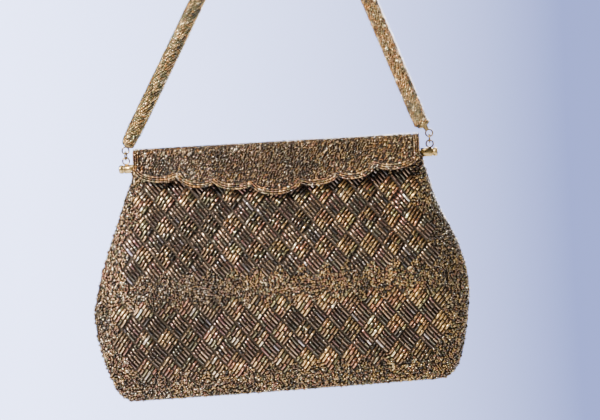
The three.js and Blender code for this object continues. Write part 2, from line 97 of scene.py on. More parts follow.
# Shape of the soft body, the same as the frame's
MOUTH_HALF_WIDTH = 88.6 * MM
BASE_HALF_WIDTH = 101.5 * MM
BELLY_DEPTH = 88 * MM
BASE_CORNER = 8 * MM
MOUTH_HALF_THICK = 5.6 * MM
BASE_HALF_THICK = 20 * MM
MOUTH_HALF_GUSSET = 4.4 * MM
BELLY_HALF_GUSSET = 15 * MM
BASE_HALF_GUSSET = 17 * MM
UPPER_CURVE, LOWER_CURVE = 1.4, 2.2
EDGE_ROUND = 5 * MM
ROUND_SHARE = 0.7            # most that the edge's round takes of a side strip's half width
BOTTOM_ROUND = 2.5 * MM
SHEET_WALL = 0.7 * MM
BEAD_BED = 0.9 * MM          # bead centres lie this far inside the frame's outer face
CLOTH_BED = BEAD_BED + 0.4 * MM
BAND_TUCK = 0.6 * MM         # the faces' tops lie this far inside the cover bands
SLUMP_SIZE = 0.9 * MM
SLUMP_START, SLUMP_GROWTH, SLUMP_END = 25 * MM, 30 * MM, 15 * MM


def ease(t):
    """Smooth step: three t squared less two t cubed."""
    return t * t * (3 - 2 * t)


def size_at(depth, mouth, belly, base, down, along):
    """One size from mouth to belly by `down`, then from belly to base by `along`."""
    upper = np.clip(depth / BELLY_DEPTH, 0, 1)
    lower = np.clip((depth - BELLY_DEPTH) / (BODY_HEIGHT - BELLY_DEPTH), 0, 1)
    return mouth + (belly - mouth) * down(upper) + (base - belly) * along(lower)


def outline_width(depth):
    """Half width at a depth: a power curve out, a power curve in, less the lower corner's arc."""
    width = size_at(depth, MOUTH_HALF_WIDTH, BELLY_HALF_WIDTH, BASE_HALF_WIDTH,
                    lambda t: 1 - (1 - t) ** UPPER_CURVE, lambda t: t ** LOWER_CURVE)
    reach = np.clip(BASE_CORNER - (BODY_HEIGHT - depth), 0, BASE_CORNER)
    return width - (BASE_CORNER - np.sqrt(BASE_CORNER ** 2 - reach ** 2))


def half_thick(depth):
    """Half thickness in the middle of the bag: a smooth step out, then a straight taper."""
    return size_at(depth, MOUTH_HALF_THICK, BELLY_HALF_THICK, BASE_HALF_THICK, ease, lambda t: t)


def half_gusset(depth):
    """Half width of the side strips: a smooth step out, then a straight taper."""
    return size_at(depth, MOUTH_HALF_GUSSET, BELLY_HALF_GUSSET, BASE_HALF_GUSSET, ease, lambda t: t)


def edge_radius(depth):
    """Radius of the round between a face and a side strip."""
    return np.minimum(EDGE_ROUND, half_gusset(depth) * ROUND_SHARE)


def edge_round(distance, radius):
    """How far a quarter round of that radius drops, a distance in from its edge."""
    inside = np.clip(radius - distance, 0, radius)
    return radius - np.sqrt(radius ** 2 - inside ** 2)


def slump(x, depth):
    """Slow hollows and swells of soft cloth: a sum of four sines, fading at the edges."""
    a, b = x / MM, depth / MM
    wave = (0.5 * np.sin(a / 31 + 1.1) * np.sin(b / 27) + 0.35 * np.sin(a / 17 - b / 23)
            + 0.25 * np.sin(a / 12 + b / 15 + 2.0) + 0.3 * np.sin(b / 19 + 0.6))
    calm = np.clip(1 - (np.abs(x) / outline_width(depth)) ** 3, 0, 1)
    fade = np.clip((depth - SLUMP_START) / SLUMP_GROWTH, 0, 1)
    fade = fade * np.clip((BODY_HEIGHT - depth) / SLUMP_END, 0, 1)
    return wave * calm * fade * SLUMP_SIZE


def face_out(x, depth, rounded=True):
    """Distance of the body's face from the middle plane: cubic crown from gusset to middle,
    its side and bottom edges rounded."""
    width = outline_width(depth)
    t = np.clip(np.abs(x) / width, 0, 1)
    gusset = half_gusset(depth)
    out = gusset + (half_thick(depth) - gusset) * (1 - t ** 3)
    if rounded:
        out = out - edge_round(width - np.abs(x), edge_radius(depth))
        out = out - edge_round(BODY_HEIGHT - depth, BOTTOM_ROUND) + slump(x, depth)
    return out


TILT = 0.035                 # the soft base hangs higher on the right by this slope
TILT_LIFT = 2.0 * MM
HOLLOWS = ((31, 20, 3.8), (105, 28, 3.0))    # right side: depth, spread and size, in millimetres
SWELLS = ((88, 22, 1.4),)                    # left side


def settle(points):
    """Hang of the soft body. Its right side has two shallow hollows and its left side a swell,
    each a bell curve of depth that grows with the square of the distance from the middle, and
    its base rises to the right, by a power of depth."""
    u = points[..., 0] - MIDDLE
    depth = HINGE_Z - points[..., 2]
    share = np.clip(np.abs(u) / outline_width(np.clip(depth, 0, BODY_HEIGHT)), 0, 1) ** 2

    def bells(stops):
        return sum(size * MM * np.exp(-((depth / MM - at) / spread) ** 2)
                   for at, spread, size in stops)

    shift = -share * np.where(u > 0, bells(HOLLOWS), bells(SWELLS))
    lift = (TILT_LIFT + TILT * u) * np.clip(depth / BODY_HEIGHT, 0, 1) ** 1.5
    return points + np.stack([shift, np.zeros_like(shift), lift], -1)


def body_face(side, x, depth, inset):
    """Point of the front (side -1) or rear (+1) face. Above the body's top edge the face leans
    in to meet the cover band."""
    lean = np.clip((MOUTH_DROP - depth) / (MOUTH_DROP - BAND_DROP), 0, 1)
    out = face_out(x, np.maximum(depth, MOUTH_DROP))
    out = out * (1 - lean) + (BAND_OUT - BAND_TUCK) * lean
    return settle(np.stack([MIDDLE + x, side * (out - inset), HINGE_Z - depth], -1))


# ---------------------------------------------------------------- meshes

def make_object(name, points, faces):
    """A smooth mesh object from points and index arrays, each array holding faces of one size."""
    mesh = bpy.data.meshes.new(name)
    points = np.asarray(points, np.float32).reshape(-1, 3)
    groups = [np.asarray(group, np.int32) for group in faces if len(group)]
    loops = np.concatenate([group.ravel() for group in groups])
    sizes = np.concatenate([np.full(len(group), group.shape[1], np.int32) for group in groups])
    starts = np.concatenate([[0], np.cumsum(sizes)[:-1]]).astype(np.int32)
    mesh.vertices.add(len(points))
    mesh.vertices.foreach_set("co", points.ravel())
    mesh.loops.add(len(loops))
    mesh.loops.foreach_set("vertex_index", loops)
    mesh.polygons.add(len(sizes))
    mesh.polygons.foreach_set("loop_start", starts)
    mesh.polygons.foreach_set("use_smooth", np.full(len(sizes), True))
    mesh.update(calc_edges=True)
    mesh.validate()
    made = bpy.data.objects.new(name, mesh)
    bpy.context.scene.collection.objects.link(made)
    return made


def outward(points, faces):
    """Faces turned outwards by the sign of the closed body's volume."""
    volume = 0.0
    for group in faces:
        corner = points[group]
        for k in range(1, group.shape[1] - 1):
            volume += np.einsum("ij,ij->", corner[:, 0], np.cross(corner[:, k], corner[:, k + 1]))
    return faces if volume > 0 else [group[:, ::-1] for group in faces]


def sheet_mesh(name, outer, inner):
    """A closed thin body between two grids of points of the same shape."""
    rows, columns = outer.shape[:2]
    points = np.concatenate([outer.reshape(-1, 3), inner.reshape(-1, 3)])
    index = np.arange(rows * columns).reshape(rows, columns)
    back = index + rows * columns
    front_quads = np.stack([index[:-1, :-1], index[:-1, 1:], index[1:, 1:], index[1:, :-1]], -1)
    back_quads = front_quads[..., ::-1] + rows * columns
    rim = np.concatenate([index[0, :-1], index[:-1, -1], index[-1, :0:-1], index[:0:-1, 0]])
    rim_back = np.concatenate([back[0, :-1], back[:-1, -1], back[-1, :0:-1], back[:0:-1, 0]])
    wall = np.stack([rim, rim_back, np.roll(rim_back, -1), np.roll(rim, -1)], -1)
    faces = [np.concatenate([front_quads.reshape(-1, 4), back_quads.reshape(-1, 4), wall])]
    return make_object(name, points, outward(points, faces))


def swept(name, rings, closed=False):
    """A tube through rings of points (steps, sides, 3). It meets itself, or each end has a face."""
    steps, sides = rings.shape[:2]
    index = np.arange(steps * sides).reshape(steps, sides)
    ahead = np.roll(index, -1, 0) if closed else index[1:]
    here = index if closed else index[:-1]
    quads = np.stack([here, np.roll(here, -1, 1), np.roll(ahead, -1, 1), ahead], -1).reshape(-1, 4)
    faces = [quads] if closed else [quads, np.stack([index[0, ::-1], index[-1]])]
    points = rings.reshape(-1, 3)
    return make_object(name, points, outward(points, faces))


def joined(name, parts):
    """Several mesh objects as one."""
    points, faces, offset = [], [], 0
    for part in parts:
        mesh = part.data
        co = np.empty(len(mesh.vertices) * 3, np.float32)
        mesh.vertices.foreach_get("co", co)
        points.append(co.reshape(-1, 3))
        for size in {polygon.loop_total for polygon in mesh.polygons}:
            faces.append(np.array([list(polygon.vertices) for polygon in mesh.polygons
                                   if polygon.loop_total == size]) + offset)
        offset += len(mesh.vertices)
        bpy.data.objects.remove(part)
    return make_object(name, np.concatenate(points), faces)


def turned(name, profile, origin, axis, across, sides=36):
    """A profile of (distance along, radius) turned round an axis; both ends lie on it."""
    profile = np.array(profile, float)
    axis = np.array(axis, float) / np.linalg.norm(axis)
    across = np.array(across, float)
    third = np.cross(axis, across)
    angle = np.linspace(0, 2 * np.pi, sides, endpoint=False)
    spoke = np.cos(angle)[:, None] * across + np.sin(angle)[:, None] * third
    rings = (np.array(origin) + profile[:, None, :1] * axis + profile[:, None, 1:] * spoke)
    return swept(name, rings)


RING_STEPS, WIRE_SIDES = 40, 12


def wire_ring(name, centre, radius, wire, normal):
    """A closed ring of round wire: a circle carried round a circle."""
    normal = np.array(normal, float)
    first = np.array((0.0, 0.0, 1.0))
    second = np.cross(normal, first)
    around = np.linspace(0, 2 * np.pi, RING_STEPS, endpoint=False)
    out = np.cos(around)[:, None] * first + np.sin(around)[:, None] * second
    tube = np.linspace(0, 2 * np.pi, WIRE_SIDES, endpoint=False)
    rings = (np.array(centre) + radius * out[:, None]
             + wire * (np.cos(tube)[None, :, None] * out[:, None]
                       + np.sin(tube)[None, :, None] * normal))
    return swept(name, rings, closed=True)


# ---------------------------------------------------------------- beads

SIDES = 5
BEAD_ROUND = np.linspace(0, 2 * np.pi, SIDES, endpoint=False)
# Rings of a bead along its own axis: place from -1 to 1, and share of the radius
BUGLE = np.array([(-1, 0.62), (-0.86, 1), (0.86, 1), (1, 0.62)])
SEED = np.array([(-1, 0.5), (-0.45, 1), (0.45, 1), (1, 0.5)])
SHADES = (0.45, 1.55)        # least and most that one bead's colour is lit by
# Cream is partly pale glass and partly painted glints: its share in the mixes stands in for
# highlights.
PALETTE = {                   # linear colours of the glass
    "gold": (0.50, 0.315, 0.115), "bronze": (0.20, 0.105, 0.042), "olive": (0.17, 0.145, 0.055),
    "copper": (0.29, 0.125, 0.062), "dark": (0.035, 0.025, 0.017), "cream": (0.86, 0.70, 0.42),
    "amber": (0.46, 0.205, 0.040),
}


def mixed_colours(rng, count, weights, light=1.0):
    """Random palette colours by weight, each a little lighter or darker."""
    names = list(weights)
    share = np.array([weights[name] for name in names], float)
    colours = np.array([PALETTE[name] for name in names])
    picked = colours[rng.choice(len(names), count, p=share / share.sum())]
    light = np.broadcast_to(np.asarray(light, float), (count,))
    return picked * (light * rng.uniform(*SHADES, count))[:, None]


def sew(name, rings, centre, along, normal, length, radius, colours):
    """One mesh of many beads: each ring of a bead is its centre, plus a share of half its length
    along it, plus a circle of its radius across it. Colours go to an attribute."""
    count = len(centre)
    along = along / np.linalg.norm(along, axis=-1, keepdims=True)
    side = np.cross(normal, along)
    side /= np.linalg.norm(side, axis=-1, keepdims=True)
    up = np.cross(along, side)
    half = np.broadcast_to(length, (count,)) / 2
    radius = np.broadcast_to(radius, (count,))
    circle = (side[:, None] * np.cos(BEAD_ROUND)[None, :, None]
              + up[:, None] * np.sin(BEAD_ROUND)[None, :, None])
    points = (centre[:, None, None]
              + (half[:, None] * rings[None, :, 0])[..., None, None] * along[:, None, None]
              + (radius[:, None] * rings[None, :, 1])[..., None, None] * circle[:, None])
    levels = len(rings)
    each = levels * SIDES
    index = np.arange(each).reshape(levels, SIDES)
    quads = np.stack([index[:-1], np.roll(index[:-1], -1, 1), np.roll(index[1:], -1, 1),
                      index[1:]], -1).reshape(-1, 4)
    caps = np.stack([index[0, ::-1], index[-1]])
    shift = (np.arange(count) * each)[:, None, None]
    made = make_object(name, points, [(quads[None] + shift).reshape(-1, 4),
                                      (caps[None] + shift).reshape(-1, SIDES)])
    tint = made.data.attributes.new("tint", "FLOAT_COLOR", "POINT")
    rgba = np.ones((count, each, 4), np.float32)
    rgba[..., :3] = colours[:, None, :]
    tint.data.foreach_set("color", rgba.ravel())
    return made


STEP = 0.4 * MM              # reach of the differences that give a surface's tangents
ROW_SHARE, JITTER = 0.87, 0.33


def on_surface(surface, a, b):
    """Point, the two tangents and the normal of a surface at many places, by differences."""
    point = surface(a, b)
    first = (surface(a + STEP, b) - surface(a - STEP, b)) / (2 * STEP)
    second = (surface(a, b + STEP) - surface(a, b - STEP)) / (2 * STEP)
    normal = np.cross(second, first)
    unit = [v / np.maximum(np.linalg.norm(v, axis=-1, keepdims=True), 1e-12)
            for v in (first, second, normal)]
    return (point, *unit)


def scatter(rng, a_range, b_range, pitch):
    """A staggered grid over a rectangle, each place moved by up to a third of the pitch."""
    rows = np.arange(b_range[0], b_range[1], pitch * ROW_SHARE)
    columns = np.arange(a_range[0], a_range[1], pitch)
    a, b = np.meshgrid(columns, rows)
    a = a + (np.arange(len(rows)) % 2)[:, None] * pitch / 2
    a = a + rng.uniform(-JITTER, JITTER, a.shape) * pitch
    b = b + rng.uniform(-JITTER, JITTER, b.shape) * pitch
    return a.ravel(), b.ravel()


# The wide band across the top at the flap's edge and the right edge are painted shade; the left
# edge is painted light.
# Areas of painted light and shade, and of lighter and darker tone: middle across and down, spread
# across and down, how much lighter
PAINTED_LIGHT_AND_TONE_AREAS = ((-62, 88, 24, 30, -1.2), (-72, 50, 20, 26, -0.8), (-40, 100, 16, 10, 1.0),
              (71, 60, 14, 30, 1.3), (-5, 32, 75, 15, -1.1), (102, 62, 16, 44, -1.3),
              (-99, 62, 9, 38, 1.9), (-84, 36, 7, 20, 1.2))


FILL_LIGHT, FILL_PATCH, FILL_COOL = 0.57, 0.27, 1.0
# Painted light and shade of the basketweave: even blocks slant so that the key light would streak
# along them, and they are painted lighter and less blue as light; odd blocks are painted darker and
# bluer as shade.
WEAVE_PAINTED_LIGHT, WEAVE_COOL = (1.16, 0.66), (1.08, 1.7)       # even blocks, odd blocks
WEAVE_PATCH = 0.34


def tone_and_painted_light(a, b):
    """Slow light and dark areas of the sewing, from about -1 to 1: a product of sines and a
    slanting sine for random tone, and a bell curve for each area of the table, with painted light
    and shade among them."""
    a, b = a / MM, b / MM
    lighter_and_darker = sum(size * np.exp(-((a - x) / wide) ** 2 - ((b - y) / tall) ** 2)
               for x, y, wide, tall, size in PAINTED_LIGHT_AND_TONE_AREAS)
    return np.clip(np.sin(a / 13 + 0.7) * np.sin(b / 11 + 0.3) * 0.45
                   + 0.3 * np.sin(a / 7 - b / 9) + lighter_and_darker, -1.5, 1.9)


def warmed(colours, a, cool):
    """Colours with more or less blue: cooler by `cool`, and warmer from left to right."""
    blue = cool - 0.25 * np.clip(a / (90 * MM), -1, 1)
    return colours * np.stack([np.ones_like(blue), 0.93 + 0.07 * blue, blue], -1)


def fill_beads(name, rng, surface, a, b, weights, flip, radius, length=2.1 * MM, wander=0.7):
    """Short beads sewn close together. They slant up to the right, and their directions drift
    slowly over the surface by `wander` and differ a little from bead to bead."""
    point, first, second, normal = on_surface(surface, a, b)
    normal = normal * flip
    drift = (0.85 + wander * np.sin(a / (9 * MM)) * np.sin(b / (8 * MM) + 1)
             + rng.normal(0, 0.35 + 0.25 * wander, len(a)))
    along = np.cos(drift)[:, None] * first - np.sin(drift)[:, None] * second
    along = along + rng.normal(0, 0.16, (len(a), 1)) * normal
    centre = point + normal * (rng.uniform(-0.15, 0.3, len(a)) * MM)[:, None]
    # Painted light and shade, with random tone, from the areas of the table and slow sines.
    light = FILL_LIGHT + FILL_PATCH * tone_and_painted_light(a, b)
    return sew(name, SEED, centre, along, normal,
               length * rng.uniform(0.65, 1.2, len(a)), radius * rng.uniform(0.85, 1.15, len(a)),
               warmed(mixed_colours(rng, len(a), weights, light), a, FILL_COOL))


# Basketweave blocks: rhombs spanned by two slanting edges
BLOCK_ACROSS = 7.0 * MM
BLOCK_DOWN = 8.5 * MM
BLOCK_SIDE = math.hypot(BLOCK_ACROSS, BLOCK_DOWN)
BLOCK_ROWS = 5
BUGLE_RADIUS = 0.76 * MM
WEAVE_BANDS = ((8 * MM, 66 * MM), (84 * MM, 127 * MM))     # depths below the hinge line
WEAVE_MARGIN = 13 * MM


def block_of(x, depth):
    """Which rhomb a place lies in: its coordinates along the two edges, rounded."""
    p, q = x / BLOCK_ACROSS, -(depth - 0.5 * BLOCK_DOWN) / BLOCK_DOWN
    return np.round((p + q) / 2), np.round((p - q) / 2)


def block_centre(i, j):
    """Middle of rhomb i, j."""
    return (i + j) * BLOCK_ACROSS, 0.5 * BLOCK_DOWN - (i - j) * BLOCK_DOWN


def is_woven(i, j):
    """Whether a rhomb is sewn as basketweave: its middle lies in a band, off the side edges."""
    x, depth = block_centre(i, j)
    inside = np.zeros(np.shape(x), bool)
    for top, bottom in WEAVE_BANDS:
        inside |= (depth > top) & (depth < bottom)
    return inside & (np.abs(x) < outline_width(np.clip(depth, 0, BODY_HEIGHT)) - WEAVE_MARGIN)


def per_block(rng, middle, spread, count):
    """One random value for all the bugles of a block."""
    each = 2 * BLOCK_ROWS
    return rng.normal(middle, spread, count // each).repeat(each)


def weave_beads(name, rng, surface, flip, weights):
    """Rhombs of parallel bugles. Odd rhombs run the other way; each row arches over its
    neighbours, so its two bugles tip down at their outer ends."""
    span = 34
    i, j = (v.ravel() for v in np.meshgrid(np.arange(-span, span + 1), np.arange(-span, span + 1)))
    keep = is_woven(i, j)
    i, j = i[keep], j[keep]
    row = (np.arange(BLOCK_ROWS) - (BLOCK_ROWS - 1) / 2) / BLOCK_ROWS
    half = np.array([-1, 1])
    i, j, row, half = (v.ravel() for v in np.broadcast_arrays(
        i[:, None, None], j[:, None, None], row[None, :, None], half[None, None, :]))
    x0, d0 = block_centre(i, j)
    odd = (i + j) % 2
    count = len(i)
    break_at = rng.uniform(-0.18, 0.18, count // 2).repeat(2)
    reach = 0.45
    low = np.where(half < 0, -reach, break_at + 0.02)
    high = np.where(half < 0, break_at - 0.02, reach)
    middle = (low + high) / 2
    u = np.where(odd == 0, middle, row)
    v = np.where(odd == 0, row, middle)
    x = x0 + (u + v) * BLOCK_ACROSS
    depth = d0 - (u - v) * BLOCK_DOWN
    point, first, second, normal = on_surface(surface, x, depth)
    normal = normal * flip
    turn = np.where(odd == 0, -1.0, 1.0)
    along = first * BLOCK_ACROSS + second * (turn * BLOCK_DOWN)[:, None]
    along /= np.linalg.norm(along, axis=-1, keepdims=True)
    tilt = -middle * 0.75 + per_block(rng, 0, 0.10, count) + rng.normal(0, 0.035, count)
    lift = (0.75 - 2.2 * middle ** 2 - 0.9 * row ** 2) * MM
    centre = point + normal * lift[:, None]
    along = along + tilt[:, None] * normal
    # Even blocks are painted lighter as light and odd blocks darker as shade; each block also takes
    # a random tone, then the areas of painted light and shade.
    light = np.where(odd == 0, *WEAVE_PAINTED_LIGHT) * per_block(rng, 1, 0.30, count)
    light = np.clip(light * (1 + WEAVE_PATCH * tone_and_painted_light(x, depth)), 0.2, 1.9)
    colours = warmed(mixed_colours(rng, count, weights, light), x, np.where(odd == 0, *WEAVE_COOL))
    return sew(name, BUGLE, centre, along, normal, (high - low) * BLOCK_SIDE, BUGLE_RADIUS, colours)


# Each mix's cream share is partly painted glints.
BODY_WEIGHTS = {"gold": 32, "bronze": 28, "olive": 14, "copper": 12, "dark": 9, "cream": 5}
WEAVE_WEIGHTS = {"gold": 34, "bronze": 30, "olive": 14, "copper": 14, "dark": 3, "cream": 5}
FLAP_WEIGHTS = {"gold": 30, "bronze": 34, "olive": 10, "copper": 10, "amber": 8, "dark": 6,
                "cream": 7}
OLIVE_WEIGHTS = {"gold": 40, "olive": 30, "bronze": 10, "amber": 8, "dark": 4, "cream": 8}
AMBER_WEIGHTS = {"gold": 40, "olive": 8, "bronze": 8, "amber": 30, "dark": 2, "cream": 12}


# ---------------------------------------------------------------- materials

class Value:
    """A number socket that can be used in a Python expression; each use adds a Math node."""

    def __init__(self, graph, socket):
        self.graph = graph
        self.socket = socket

    def join(self, operation, first, second):
        return self.graph.number("ShaderNodeMath", {"operation": operation}, {0: first, 1: second})

    def __add__(self, other):
        return self.join("ADD", self, other)

    def __radd__(self, other):
        return self.join("ADD", other, self)

    def __mul__(self, other):
        return self.join("MULTIPLY", self, other)

    def __rmul__(self, other):
        return self.join("MULTIPLY", other, self)


class Graph:
    """The nodes of one material, or of the surroundings."""

    def __init__(self, name, holder=None, shader="Principled BSDF"):
        self.material = holder or bpy.data.materials.new(name)
        self.material.use_nodes = True
        self.tree = self.material.node_tree
        self.shader = self.tree.nodes[shader]

    def node(self, kind, settings=None, sockets=None):
        """A node of that kind: settings first (a ramp's stops among them), then its sockets."""
        made = self.tree.nodes.new(kind)
        for key, value in (settings or {}).items():
            if key == "stops":
                ramp = made.color_ramp.elements
                while len(ramp) < len(value):
                    ramp.new(0.5)
                for element, (place, colour) in zip(ramp, value):
                    element.position = place
                    element.color = (*colour, 1)
            else:
                setattr(made, key, value)
        for key, value in (sockets or {}).items():
            self.feed(made.inputs[key], value)
        return made

    def feed(self, socket, value):
        """Links a value or sets a constant."""
        if isinstance(value, Value):
            self.tree.links.new(value.socket, socket)
        elif isinstance(value, bpy.types.NodeSocket):
            self.tree.links.new(value, socket)
        else:
            socket.default_value = value

    def number(self, kind, settings=None, sockets=None, output=0):
        """A node's output, ready for an expression."""
        return Value(self, self.node(kind, settings, sockets).outputs[output])

    def set(self, **values):
        """Principled sockets by name, with _ for a space."""
        for key, value in values.items():
            self.feed(self.shader.inputs[key.replace("_", " ")], value)
        return self

    def place(self):
        """Object coordinates."""
        return self.node("ShaderNodeTexCoord").outputs["Object"]

    def noise(self, scale, detail=3.0):
        """Noise from 0 to 1 at a scale in lumps per metre."""
        return self.number("ShaderNodeTexNoise", {}, {
            "Vector": self.place(), "Scale": scale, "Detail": detail, "Roughness": 0.55})

    def ridges(self, scale, direction, distortion):
        """Sine bands along an axis."""
        kind = {"wave_type": "BANDS", "bands_direction": direction}
        return self.number("ShaderNodeTexWave", kind, {
            "Vector": self.place(), "Scale": scale, "Distortion": distortion}, 1)

    def ramp(self, factor, stops):
        """A colour ramp."""
        return self.node("ShaderNodeValToRGB", {"stops": stops}, {0: factor}).outputs[0]

    def mix(self, factor, first, second, blend="MIX"):
        """A mix of two colours."""
        made = self.node("ShaderNodeMix", {"data_type": "RGBA", "blend_type": blend})
        self.feed(made.inputs["Factor"], factor)
        for name, value in (("A", first), ("B", second)):
            socket = [s for s in made.inputs if s.name == name and s.type == "RGBA"][0]
            self.feed(socket, (*value, 1) if isinstance(value, tuple) else value)
        return [s for s in made.outputs if s.type == "RGBA"][0]

    def bump(self, height, strength, distance):
        """A normal from a height in metres of that distance."""
        return self.node("ShaderNodeBump", {}, {
            "Height": height, "Strength": strength, "Distance": distance}).outputs[0]


def glass_bead(name, warmth):
    """Metal-lined glass beads: the sewn-on colour, thin streaks, and a clear glass coat."""
    graph = Graph(name)
    tint = graph.node("ShaderNodeAttribute", {"attribute_name": "tint"}).outputs["Color"]
    streak = graph.noise(900, 2)
    blush = graph.noise(34, 2)
    lighter_and_darker = graph.ramp(blush, [(0.35, (0.86, 0.84, 0.9)), (0.7, warmth)])
    coloured = graph.mix(1.0, tint, lighter_and_darker, "MULTIPLY")
    dusty = graph.mix(streak * 0.22, coloured, (0.16, 0.12, 0.07))
    graph.set(Base_Color=dusty, Metallic=0.85, Roughness=0.15 + streak * 0.14,
              Coat_Weight=0.8, Coat_Roughness=0.05, Coat_IOR=1.55,
              Normal=graph.bump(graph.noise(1400, 2), 0.25, 0.0001))
    return graph.material


def backing_cloth(name):
    """Dark brown crepe under the beads, its colour made darker still as painted shade in the gaps
    between the beads: a fine square weave with faded lighter threads.
    """
    graph = Graph(name)
    weft = graph.ridges(900, "X", distortion=0.6)
    warp = graph.ridges(900, "Z", distortion=0.6)
    weave = weft * 0.5 + warp * 0.5
    # Very dark: partly the crepe's own colour, partly painted shade between the beads.
    colour = graph.ramp(weave, [(0.2, (0.012, 0.008, 0.005)), (0.9, (0.046, 0.030, 0.016))])
    faded = graph.mix(graph.noise(60) * 0.35, colour, (0.070, 0.045, 0.022))
    graph.set(Base_Color=faded, Roughness=0.85, Normal=graph.bump(weave, 0.6, 0.0002))
    return graph.material


def satin_cloth(name):
    """Champagne satin: fine lengthwise floats, soft creases whose hollows are painted darker as
    shade and whose crests are painted lighter as light, and a sheen.
    """
    graph = Graph(name)
    floats = graph.ridges(1100, "Z", distortion=1.2)
    crease = graph.noise(55, 4)
    # Painted shade and light: the colour follows the same crease noise as the bump, darker in its
    # hollows and lighter on its crests.
    colour = graph.ramp(crease, [(0.25, (0.42, 0.29, 0.15)), (0.5, (0.58, 0.43, 0.25)),
                                 (0.8, (0.74, 0.60, 0.40))])
    threaded = graph.mix(floats * 0.25, colour, (0.80, 0.68, 0.48))
    graph.set(Base_Color=threaded, Roughness=0.34 + crease * 0.2, Sheen_Weight=0.4,
              Sheen_Roughness=0.35, Anisotropic=0.3,
              Normal=graph.bump(crease + floats * 0.1, 0.5, 0.0006))
    return graph.material


def gold_plate(name, dull=0.0):
    """Gold-plated brass: fine scratches, cloudy tarnish and dark spots. `dull` is the share
    of its plating that has gone."""
    graph = Graph(name)
    cloud = graph.noise(120, 5)
    scratch = graph.ridges(2200, "Y", distortion=14.0)
    spots = graph.noise(420, 3)
    colour = graph.ramp(cloud, [(0.3, (0.30, 0.18, 0.06)), (0.5, (0.62, 0.41, 0.15)),
                                (0.75, (0.86, 0.63, 0.28))])
    tarnished = graph.mix(spots * 0.3 + dull, colour, (0.045, 0.033, 0.020))
    graph.set(Base_Color=tarnished, Metallic=1.0, Roughness=0.16 + cloud * 0.22,
              Normal=graph.bump(scratch * 0.4 + spots * 0.6, 0.22, 0.00012))
    return graph.material


def nickel_plate(name):
    """Nickel snap metal: brushed rings and rubbed patches."""
    graph = Graph(name)
    rubbed = graph.noise(300, 4)
    colour = graph.ramp(rubbed, [(0.3, (0.33, 0.30, 0.26)), (0.8, (0.72, 0.69, 0.62))])
    graph.set(Base_Color=colour, Metallic=1.0, Roughness=0.2 + rubbed * 0.2,
              Normal=graph.bump(rubbed, 0.2, 0.0001))
    return graph.material


def pressed_card(name):
    """Grey-brown card: mottled fibres."""
    graph = Graph(name)
    fibre = graph.noise(500, 6)
    colour = graph.ramp(fibre, [(0.3, (0.16, 0.12, 0.075)), (0.75, (0.34, 0.27, 0.19))])
    graph.set(Base_Color=colour, Roughness=0.9, Normal=graph.bump(fibre, 0.4, 0.0003))
    return graph.material


def cord_core(name):
    """Twisted cotton core of the handle: slanting plies under the beads."""
    graph = Graph(name)
    ply = graph.ridges(260, "DIAGONAL", distortion=0.4)
    colour = graph.ramp(ply, [(0.2, (0.05, 0.032, 0.014)), (0.85, (0.17, 0.115, 0.048))])
    graph.set(Base_Color=colour, Roughness=0.8, Normal=graph.bump(ply, 0.5, 0.0005))
    return graph.material


# What each finish is made by, and with
FINISH_MAKERS = {
    "body_beads": (glass_bead, (1.0, 0.93, 0.80)), "flap_beads": (glass_bead, (1.0, 0.88, 0.74)),
    "handle_beads": (glass_bead, (1.0, 0.95, 0.75)), "backing": (backing_cloth,),
    "satin": (satin_cloth,), "gold": (gold_plate,), "aged_gold": (gold_plate, 0.5),
    "nickel": (nickel_plate,), "card": (pressed_card,), "core": (cord_core,),
}
FINISHES = {}


def finish_of(name):
    """A finish by name, made once."""
    if name not in FINISHES:
        maker, *settings = FINISH_MAKERS[name]
        FINISHES[name] = maker(name, *settings)
    return FINISHES[name]


def dress(piece, finish):
    """Gives a piece, or a frame node that keeps its own shape, its finish."""
    piece.data.materials.clear()
    piece.data.materials.append(finish_of(finish))


def place_piece(piece, body, finish, replaces=()):
    """Finish, body and the frame nodes that a piece stands for."""
    dress(piece, finish)
    if body:
        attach(piece, body)
    if replaces:
        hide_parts(*replaces)
    return piece


# ---------------------------------------------------------------- sizes a user would change

class BagSizes(bpy.types.PropertyGroup):
    """Sizes and counts of the sewn surfaces."""

    pitch: bpy.props.FloatProperty(
        name="Bead pitch", description="Distance between the short beads of the fill",
        default=1.62 * MM, unit="LENGTH")
    bead_radius: bpy.props.FloatProperty(
        name="Bead radius", description="Radius of the short beads",
        default=0.72 * MM, unit="LENGTH")
    rope_radius: bpy.props.FloatProperty(
        name="Rope core radius", description="Radius of the handle's core under its beads",
        default=4.25 * MM, unit="LENGTH")
    edging_rows: bpy.props.IntProperty(
        name="Edging rows", description="Rows of beads that follow the scalloped edge", default=3)


class StageSizes(bpy.types.PropertyGroup):
    """Camera, light and floor."""

    distance: bpy.props.FloatProperty(
        name="Camera distance", description="Camera to the middle of the bag",
        default=0.72, unit="LENGTH")
    view_width: bpy.props.FloatProperty(
        name="View width", description="Width that the picture takes in at the bag",
        default=0.371, unit="LENGTH")
    azimuth: bpy.props.FloatProperty(
        name="Azimuth", description="How far the camera stands to the right",
        default=math.radians(5), subtype="ANGLE")
    roll: bpy.props.FloatProperty(
        name="Roll", description="Turn of the camera about its own line of sight",
        default=math.radians(3.05), subtype="ANGLE")
    wall_colour: bpy.props.FloatVectorProperty(
        name="Surroundings, left", description="Colour of the surroundings on the left",
        subtype="COLOR", default=(0.52, 0.60, 1.0))
    shade_colour: bpy.props.FloatVectorProperty(
        name="Surroundings, right", description="Colour of the surroundings on the right",
        subtype="COLOR", default=(0.075, 0.092, 0.21))
    room_colour: bpy.props.FloatVectorProperty(
        name="Room light", description="Colour of the soft light from all round",
        subtype="COLOR", default=(0.085, 0.09, 0.112))


# ---------------------------------------------------------------- stage

